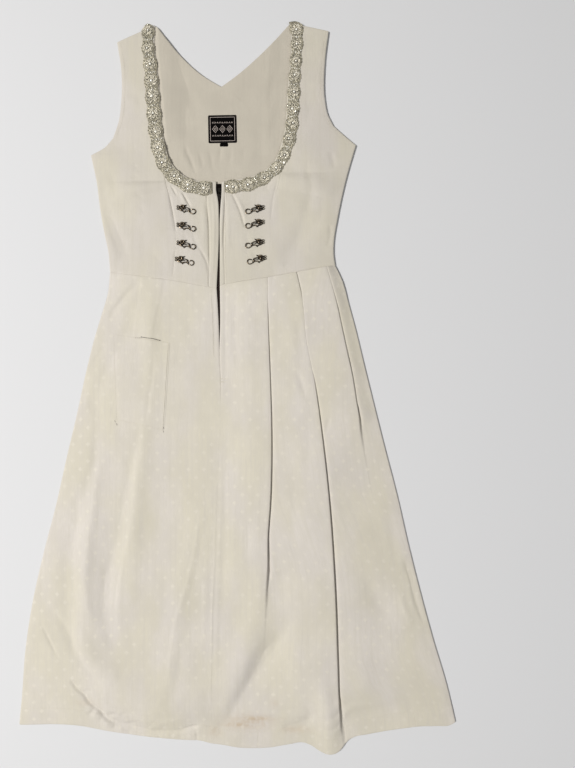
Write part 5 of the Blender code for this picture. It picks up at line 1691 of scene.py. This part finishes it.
    flakes.build(f"braid_flakes_{side}", SILVER_FLAKE, "silver_braid")


# ---------------------------------------------------------------- hooks


def hook_shape(mirror):
    """One bodice hook in its own frame: sewing loops, a leafy body round a dome, and an open ring."""
    batch = Batch()

    def strand(points, radii, sides=6):
        """A strand through (x, y, z) places, smoothed, with its own radius at each."""
        points = np.array(points, float) * (mirror, 1, 1)
        shares = np.linspace(0, 1, 3 * len(points))
        at = np.interp(shares, np.linspace(0, 1, len(points)), np.arange(len(points)))
        radius = np.interp(at, np.arange(len(points)), radii)
        batch.tube(smooth_values(np.arange(len(points)), points, at), radius, sides)

    def ball(x, y, z, rx, ry, rz, template=None):
        batch.ball((mirror * x, y, z), (rx, ry, rz), template)

    for x, y in HOOK_LOOPS:
        turns = np.linspace(0, 2 * math.pi, 15)[:-1]
        ring = [(mirror * (x + 1.7 * math.cos(turn)), y + 1.5 * math.sin(turn), 0.9) for turn in turns]
        batch.tube(ring, 0.5, 6, closed=True)
    strand([(-13.6, 2.9, 1.0), (-10.6, 2.3, 1.5), (-8.3, 4.2, 1.8), (-5.7, 4.9, 1.9), (-3.0, 5.1, 1.7),
            (-0.8, 7.5, 1.1)], [0.55, 1.0, 1.75, 1.45, 1.25, 0.45], 8)
    strand([(-5.6, 4.4, 2.4), (-4.3, 3.0, 2.3), (-2.6, 3.4, 1.9)], [0.7, 0.9, 0.5])
    strand([(-12.9, -2.6, 1.0), (-10.6, -2.7, 1.4), (-7.4, -3.6, 1.6), (-5.2, -3.9, 1.4),
            (-3.6, -5.0, 1.0)],
           [0.5, 1.2, 1.3, 1.1, 0.4], 8)
    strand([(-2.2, -6.5, 0.9), (-1.6, -4.6, 1.4), (0.2, -3.0, 1.6), (2.6, -2.4, 1.5), (5.0, -2.5, 1.3)],
           [0.55, 1.3, 1.0, 0.9, 0.9], 8)
    strand([(-5.4, 1.7, 2.0), (-2.2, 2.4, 2.0), (0.8, 2.7, 1.8), (3.2, 2.5, 1.6), (5.0, 1.6, 1.4)],
           [0.9, 0.75, 0.8, 0.8, 0.9], 7)
    strand([(5.0, 2.8, 1.2), (5.6, 0.6, 1.5), (6.3, -1.6, 1.5), (7.8, -3.4, 1.2)], [0.5, 1.15, 1.75, 0.9],
           8)
    ball(-6.3, 0.3, 1.7, 2.5, 2.3, 1.6)
    for turn in range(0, 360, 45):
        away = math.radians(turn + 10)
        ball(-6.3 + 2.9 * math.cos(away), 0.3 + 2.7 * math.sin(away), 1.7, 0.8, 0.8, 0.75, SMALL_BALL)
    for x, y, size in ((-10.4, -0.3, 1.25), (-2.3, 0.2, 1.3), (-0.2, 0.0, 0.9), (1.6, -0.2, 0.75),
                       (-11.9, 1.0, 0.8)):
        ball(x, y, 1.5, size, size * 0.85, size)
    turns = np.radians(HOOK_RING_START - HOOK_RING_TURN * np.linspace(0, 1, 26))
    ring = [(mirror * (HOOK_RING.x + HOOK_RING_RADIUS * math.cos(turn)),
             HOOK_RING.y + HOOK_RING_RADIUS * math.sin(turn),
             1.15) for turn in turns]
    ring.append((mirror * 8.8, -4.3, 1.2))
    ring.append((mirror * 7.4, -3.2, 1.3))
    batch.tube(ring, np.linspace(0.95, 0.8, len(ring)), 8)
    batch.ball(ring[0], (1.15, 1.15, 1.0), SMALL_BALL)
    return batch


def make_hooks():
    sewing = Batch()
    for side, spots, mirror in (("left", HOOKS_LEFT, 1), ("right", HOOKS_RIGHT, -1)):
        shared = None
        tilt = -mirror * math.radians(HOOK_TILT)
        for number, spot in enumerate(spots, 1):
            name = f"bodice_hook_{side}_{number}"
            if shared is None:
                made = hook_shape(mirror).build(name, ANTIQUE, "antique_metal", place=False)
                face_outward(made)
                shared = made.data
            else:
                made = put(name, shared)
            dx, dy = np.meshgrid((-17, -8, 0, 8, 17), (-8, 0, 8))
            height = float(bodice_top(spot.x + dx, spot.y + dy).max()) - 0.1
            made.location = world((spot.x, spot.y, height))
            made.rotation_euler = (0, 0, tilt)
            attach(made, BODY)
            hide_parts(f"hook_{side}_{number}")
            for local_x, local_y in HOOK_LOOPS:
                x = mirror * local_x
                place_x = spot.x + x * math.cos(tilt) - local_y * math.sin(tilt)
                place_y = spot.y + x * math.sin(tilt) + local_y * math.cos(tilt)
                for shift in (-0.45, 0.45):
                    path = [(place_x - 2.9 * mirror, place_y + shift, height - 0.4),
                            (place_x - 1.9 * mirror, place_y + shift, height + 1.6),
                            (place_x - 1.0 * mirror, place_y + shift, height + 1.4),
                            (place_x - 0.2 * mirror, place_y + shift, height - 0.4)]
                    sewing.tube(path, 0.2, 4)
    sewing.build("hook_sewing", THREAD, "bodice_cloth")


# ---------------------------------------------------------------- label


def make_label():
    turn = math.radians(LABEL_TURN)
    centre = np.array(LABEL_CENTRE, float)

    def turned(points):
        points = np.asarray(points, float)
        c, s = math.cos(turn), math.sin(turn)
        return centre + np.stack([points[..., 0] * c - points[..., 1] * s,
                                  points[..., 0] * s + points[..., 1] * c], axis=-1)

    def lining_top(plan):
        rise = crease_height(plan[..., 0], plan[..., 1], LINING_CREASES) + 0.5 * ripple(plan[..., 0],
                plan[..., 1])
        return LINING_BOTTOM + LINING + np.clip(rise + 1.1, 0, 2.2)

    def patch(name, node, width, height, middle):
        across = seam_shares(width, 2.4)
        down = seam_shares(height, 2.4)
        x = (across - 0.5) * width + middle[0]
        y = (0.5 - down) * height + middle[1]
        plan = turned(np.stack(np.meshgrid(x, y), axis=-1))
        base = roll_down(lining_top(plan) + 0.25, plan, ("top", "bottom", "left", "right"), 0.3)
        piece = shell(name, np.dstack([plan, base]), np.dstack([plan, base + 0.6]), LABEL_SATIN)
        dress_cloth(piece, node)

    patch("woven_label", "label", LABEL_WIDTH, LABEL_HEIGHT, (0, 0))
    patch("size_loop", "size_tab", SIZE_TAB_WIDTH, SIZE_TAB_HEIGHT,
          (2, -LABEL_HEIGHT / 2 - SIZE_TAB_HEIGHT / 2))
    weft = Batch()

    def woven_line(corners, radius=0.34):
        """A run of raised weft along straight sides, in the label's own frame."""
        path = []
        for first, last in zip(corners[:-1], corners[1:]):
            steps = max(int(math.dist(first, last) / 1.5), 2)
            path += [tuple(point) for point in between(first, last, np.linspace(0, 1, steps + 1)[:-1])]
        path.append(corners[-1])
        plan = turned(path)
        weft.tube(np.column_stack([plan, lining_top(plan) + 0.88]), radius, 4)

    half_w, half_h = LABEL_WIDTH / 2, LABEL_HEIGHT / 2
    w, h = half_w - LABEL_BORDER, half_h - LABEL_BORDER
    woven_line([(-w, h), (w, h), (w, -h), (-w, -h), (-w, h)])
    for middle in (-12, 0, 12):
        for size in (1.9, 4.8):
            woven_line([(middle - size, 0), (middle, size * 1.25), (middle + size, 0),
                        (middle, -size * 1.25),
                        (middle - size, 0)])
    for y in (11, -11):
        for k in range(-4, 5):
            woven_line([(k * 4 - 1.2, y - 1.2), (k * 4, y + 1.2), (k * 4 + 1.2, y - 1.2)], 0.3)
    weft.build("label_weft", LABEL_THREAD, "label_satin")
    sewing = Batch()
    corners = [(-half_w + 1.2, half_h - 1.2), (half_w - 1.2, half_h - 1.2), (half_w - 1.2, -half_h + 1.2),
               (-half_w + 1.2, -half_h + 1.2)]
    for first, last in zip(corners, corners[1:] + corners[:1]):
        plan = turned(between(first, last, np.linspace(0, 1, 30)))
        add_stitches(sewing, np.column_stack([plan, lining_top(plan) + 0.85]), 2.6, 0.7, 0.16)
    sewing.build("label_sewing", DARK_THREAD, "label_satin")


# ---------------------------------------------------------------- zip


def slit_middle(y):
    left = side_x(y, SLIT_LEFT, CENTRE_SEAM_LEFT[:3])
    right = side_x(y, SLIT_RIGHT, CENTRE_SEAM_RIGHT[:3])
    return (left + right) / 2


def make_zip():
    ys = np.linspace(ZIP_TOP, ZIP_BOTTOM, 120)
    offsets = np.array([-ZIP_TAPE_HALF, -7, -4, -2, 0, 2, 4, 7, ZIP_TAPE_HALF], float)
    plan = np.stack([slit_middle(ys)[:, None] + offsets[None], np.repeat(ys[:, None], len(offsets), 1)],
                    axis=-1)
    base = np.full(plan.shape[:2], BODICE_BOTTOM)
    tape = shell("zip_tape_woven", np.dstack([plan, base]), np.dstack([plan, base + ZIP_TAPE]), ZIP_CLOTH)
    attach(tape, BODY)
    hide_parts("zip_tape")
    teeth = Batch()
    top_of_chain = SLIDER_Y - SLIDER_LENGTH / 2
    count = int((top_of_chain - ZIP_BOTTOM - 4) / TOOTH_PITCH)
    height = BODICE_BOTTOM + ZIP_TAPE
    for i in range(count):
        for sign in (-1, 1):
            y = top_of_chain - (i + (0.5 if sign > 0 else 0.0)) * TOOTH_PITCH
            x = float(slit_middle(y))
            inner, outer = x + sign * -0.7, x + sign * 2.1
            points = []
            for z, shrink in ((height, 0.0), (height + 0.8, 0.0), (height + 1.1, 0.3)):
                for px, py in ((inner, -0.45), (outer, -0.85), (outer, 0.85), (inner, 0.45)):
                    points.append((px + (shrink if px < x else -shrink), y + py * (1 - 0.3 * shrink), z))
            faces = [(0, 1, 2, 3), (8, 11, 10, 9)]
            for layer in (0, 4):
                for j in range(4):
                    k = (j + 1) % 4
                    faces.append((layer + j, layer + 4 + j, layer + 4 + k, layer + k))
            teeth.add(points, faces)
    made = teeth.build("zip_teeth", ZIP_TEETH, "zip_dark", sharp=40)
    face_outward(made)


def prism(batch, outline, low, high, chamfer=0.35):
    """An upright prism over an outline, with chamfered upper and lower edges."""
    outline = np.asarray(outline, float)
    centre = outline.mean(axis=0)
    levels = ((low, 1), (low + chamfer, 0), (high - chamfer, 0), (high, 1))
    points = []
    for z, drawn_in in levels:
        away = outline - centre
        reach = np.linalg.norm(away, axis=1, keepdims=True)
        ring = centre + away * (1 - drawn_in * chamfer / reach)
        points += [(x, y, z) for x, y in ring]
    count = len(outline)
    faces = [tuple(range(count))[::-1], tuple(range(3 * count, 4 * count))]
    for level in range(3):
        for j in range(count):
            k = (j + 1) % count
            faces.append((level * count + j, level * count + k, (level + 1) * count + k,
                          (level + 1) * count + j))
    batch.add(points, faces)


def make_slider():
    batch = Batch()
    half, long = SLIDER_WIDTH / 2, SLIDER_LENGTH / 2
    shield = [(-half, 0.4), (-half * 0.95, 0.75), (-half * 0.6, 1), (-half * 0.2, 0.86), (half * 0.2, 0.86),
              (half * 0.6, 1), (half * 0.95, 0.75), (half, 0.4), (half * 0.9, -0.4), (half * 0.62, -1),
              (-half * 0.62, -1), (-half * 0.9, -0.4)]
    outline = [(x, SLIDER_Y + y * long) for x, y in shield][::-1]
    prism(batch, outline, SLIDER_BOTTOM, SLIDER_TOP, 0.4)
    t = np.linspace(-1, 1, 15)
    rise = BRIDGE_RISE * (1 - np.abs(t) ** 3.2)
    for offset in (-0.5, 0, 0.5):
        path = np.column_stack([np.full(15, offset * (BRIDGE_WIDTH - 0.8)), SLIDER_Y - 3.9 * t,
                                SLIDER_TOP - 0.45 + rise])
        batch.tube(path, 0.45, 6)
    made = batch.build("zip_slider_body", ZIP_METAL, "antique_metal", sharp=45, node="zip_slider")
    face_outward(made)


def make_pull_tab():
    """The pull tab, made round its hinge at the bar under the slider's bridge."""
    half = TAB_WIDTH / 2
    bar = TAB_BAR
    arm_inner = BRIDGE_WIDTH / 2 + 0.5
    outer = [(-half, bar - 0.3), (-half + 0.3, bar), (half - 0.3, bar), (half, bar - 0.3)]
    end = -TAB_LENGTH + half
    for k in range(9):
        turn = math.pi * k / 8
        outer.append((half * math.cos(turn), end - half * math.sin(turn)))
    inner = [(-arm_inner, -bar), (arm_inner, -bar), (arm_inner, -TAB_EYE + 0.6),
             (arm_inner - 0.6, -TAB_EYE),
             (-arm_inner + 0.6, -TAB_EYE), (-arm_inner, -TAB_EYE + 0.6)]
    shape = bmesh.new()
    rings = []
    for loop in (outer, inner):
        corners = [shape.verts.new((x * MM, y * MM, -TAB_THICK * MM / 2)) for x, y in loop]
        rings.append([shape.edges.new((corners[i], corners[(i + 1) % len(corners)]))
                      for i in range(len(corners))])
    bmesh.ops.triangle_fill(shape, use_beauty=True, edges=rings[0] + rings[1])
    top = bmesh.ops.extrude_face_region(shape, geom=shape.faces[:])
    raised = [part for part in top["geom"] if isinstance(part, bmesh.types.BMVert)]
    bmesh.ops.translate(shape, vec=(0, 0, TAB_THICK * MM), verts=raised)
    bmesh.ops.recalc_face_normals(shape, faces=shape.faces[:])
    mesh = bpy.data.meshes.new("zip_pull")
    shape.to_mesh(mesh)
    shape.free()
    mesh.shade_smooth()
    mesh.set_sharp_from_angle(angle=math.radians(35))
    mesh.materials.append(ZIP_METAL)
    tab = put("zip_pull", mesh)
    bevel = tab.modifiers.new("rounded", "BEVEL")
    bevel.width = TAB_BEVEL * MM
    bevel.segments = 2
    bevel.limit_method = "ANGLE"
    tab.location = world(HINGE)
    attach(tab, "pull_tab")
    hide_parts("zip_pull_tab")


# ---------------------------------------------------------------- stage


IMAGE_WIDTH = 575
IMAGE_HEIGHT = 768
MM_PER_PIXEL = 1.68
CAMERA_HEIGHT = 0.974
CLOTH_HEIGHT = 0.005
CENTRE_FRONT_PIXEL = (219.5, 286.0)
SENSOR_WIDTH = 36
FLOOR_REACH = 6.0
FLOOR_DROP = 0.0003


def make_stage():
    mesh = bpy.data.meshes.new("floor")
    corners = ((-1, -1), (1, -1), (1, 1), (-1, 1))
    mesh.from_pydata([(x * FLOOR_REACH, y * FLOOR_REACH, -FLOOR_DROP) for x, y in corners], [],
                     [(0, 1, 2, 3)])
    nodes = Nodes("floor_look", (0.66, 0.665, 0.68), 0.9)
    mesh.materials.append(nodes.material)
    floor = put("floor", mesh)

    def area_light(name, place, target, size, power, colour):
        data = bpy.data.lights.new(name, "AREA")
        data.shape = "DISK"
        data.size = size
        data.energy = power
        data.color = colour
        light = put(name, data)
        light.location = place
        aim = np.array(target) - np.array(place)
        light.rotation_euler = (math.atan2(math.hypot(aim[0], aim[1]), -aim[2]), 0,
                                math.atan2(aim[1], aim[0]) - math.pi / 2)

    area_light("key_light", (-2.6, -0.1, 3.5), (0, -0.1, 0), 0.8, 186, (1.0, 0.985, 0.96))
    area_light("fill_light", (1.6, -0.9, 3.6), (0, 0, 0), 3.0, 25, (0.99, 0.985, 0.97))
    world_light = bpy.data.worlds.new("studio")
    world_light.use_nodes = True
    world_light.node_tree.nodes["Background"].inputs["Color"].default_value = (0.99, 0.98, 0.965, 1)
    world_light.node_tree.nodes["Background"].inputs["Strength"].default_value = 0.2
    bpy.context.scene.world = world_light
    bpy.context.scene.view_settings.view_transform = "Standard"

    data = bpy.data.cameras.new("camera")
    centre_x = (IMAGE_WIDTH / 2 - CENTRE_FRONT_PIXEL[0]) * MM_PER_PIXEL
    centre_y = (CENTRE_FRONT_PIXEL[1] - IMAGE_HEIGHT / 2) * MM_PER_PIXEL
    data.sensor_width = SENSOR_WIDTH
    data.lens = SENSOR_WIDTH * (CAMERA_HEIGHT - CLOTH_HEIGHT) / (IMAGE_HEIGHT * MM_PER_PIXEL * MM)
    camera = put("camera", data)
    camera.location = (*world((centre_x, centre_y, 0))[:2], CAMERA_HEIGHT)
    bpy.context.scene.camera = camera


make_stage()
make_back_bodice()
make_back_skirt()
make_front_bodice()
left_top = make_front_skirt_left()
right_top, right_shows = make_front_skirt_right()
make_pocket()
make_stitching(left_top, right_top, right_shows)
make_braid("left", BRAID_LEFT)
make_braid("right", BRAID_RIGHT)
make_hooks()
make_label()
make_zip()
make_slider()
make_pull_tab()
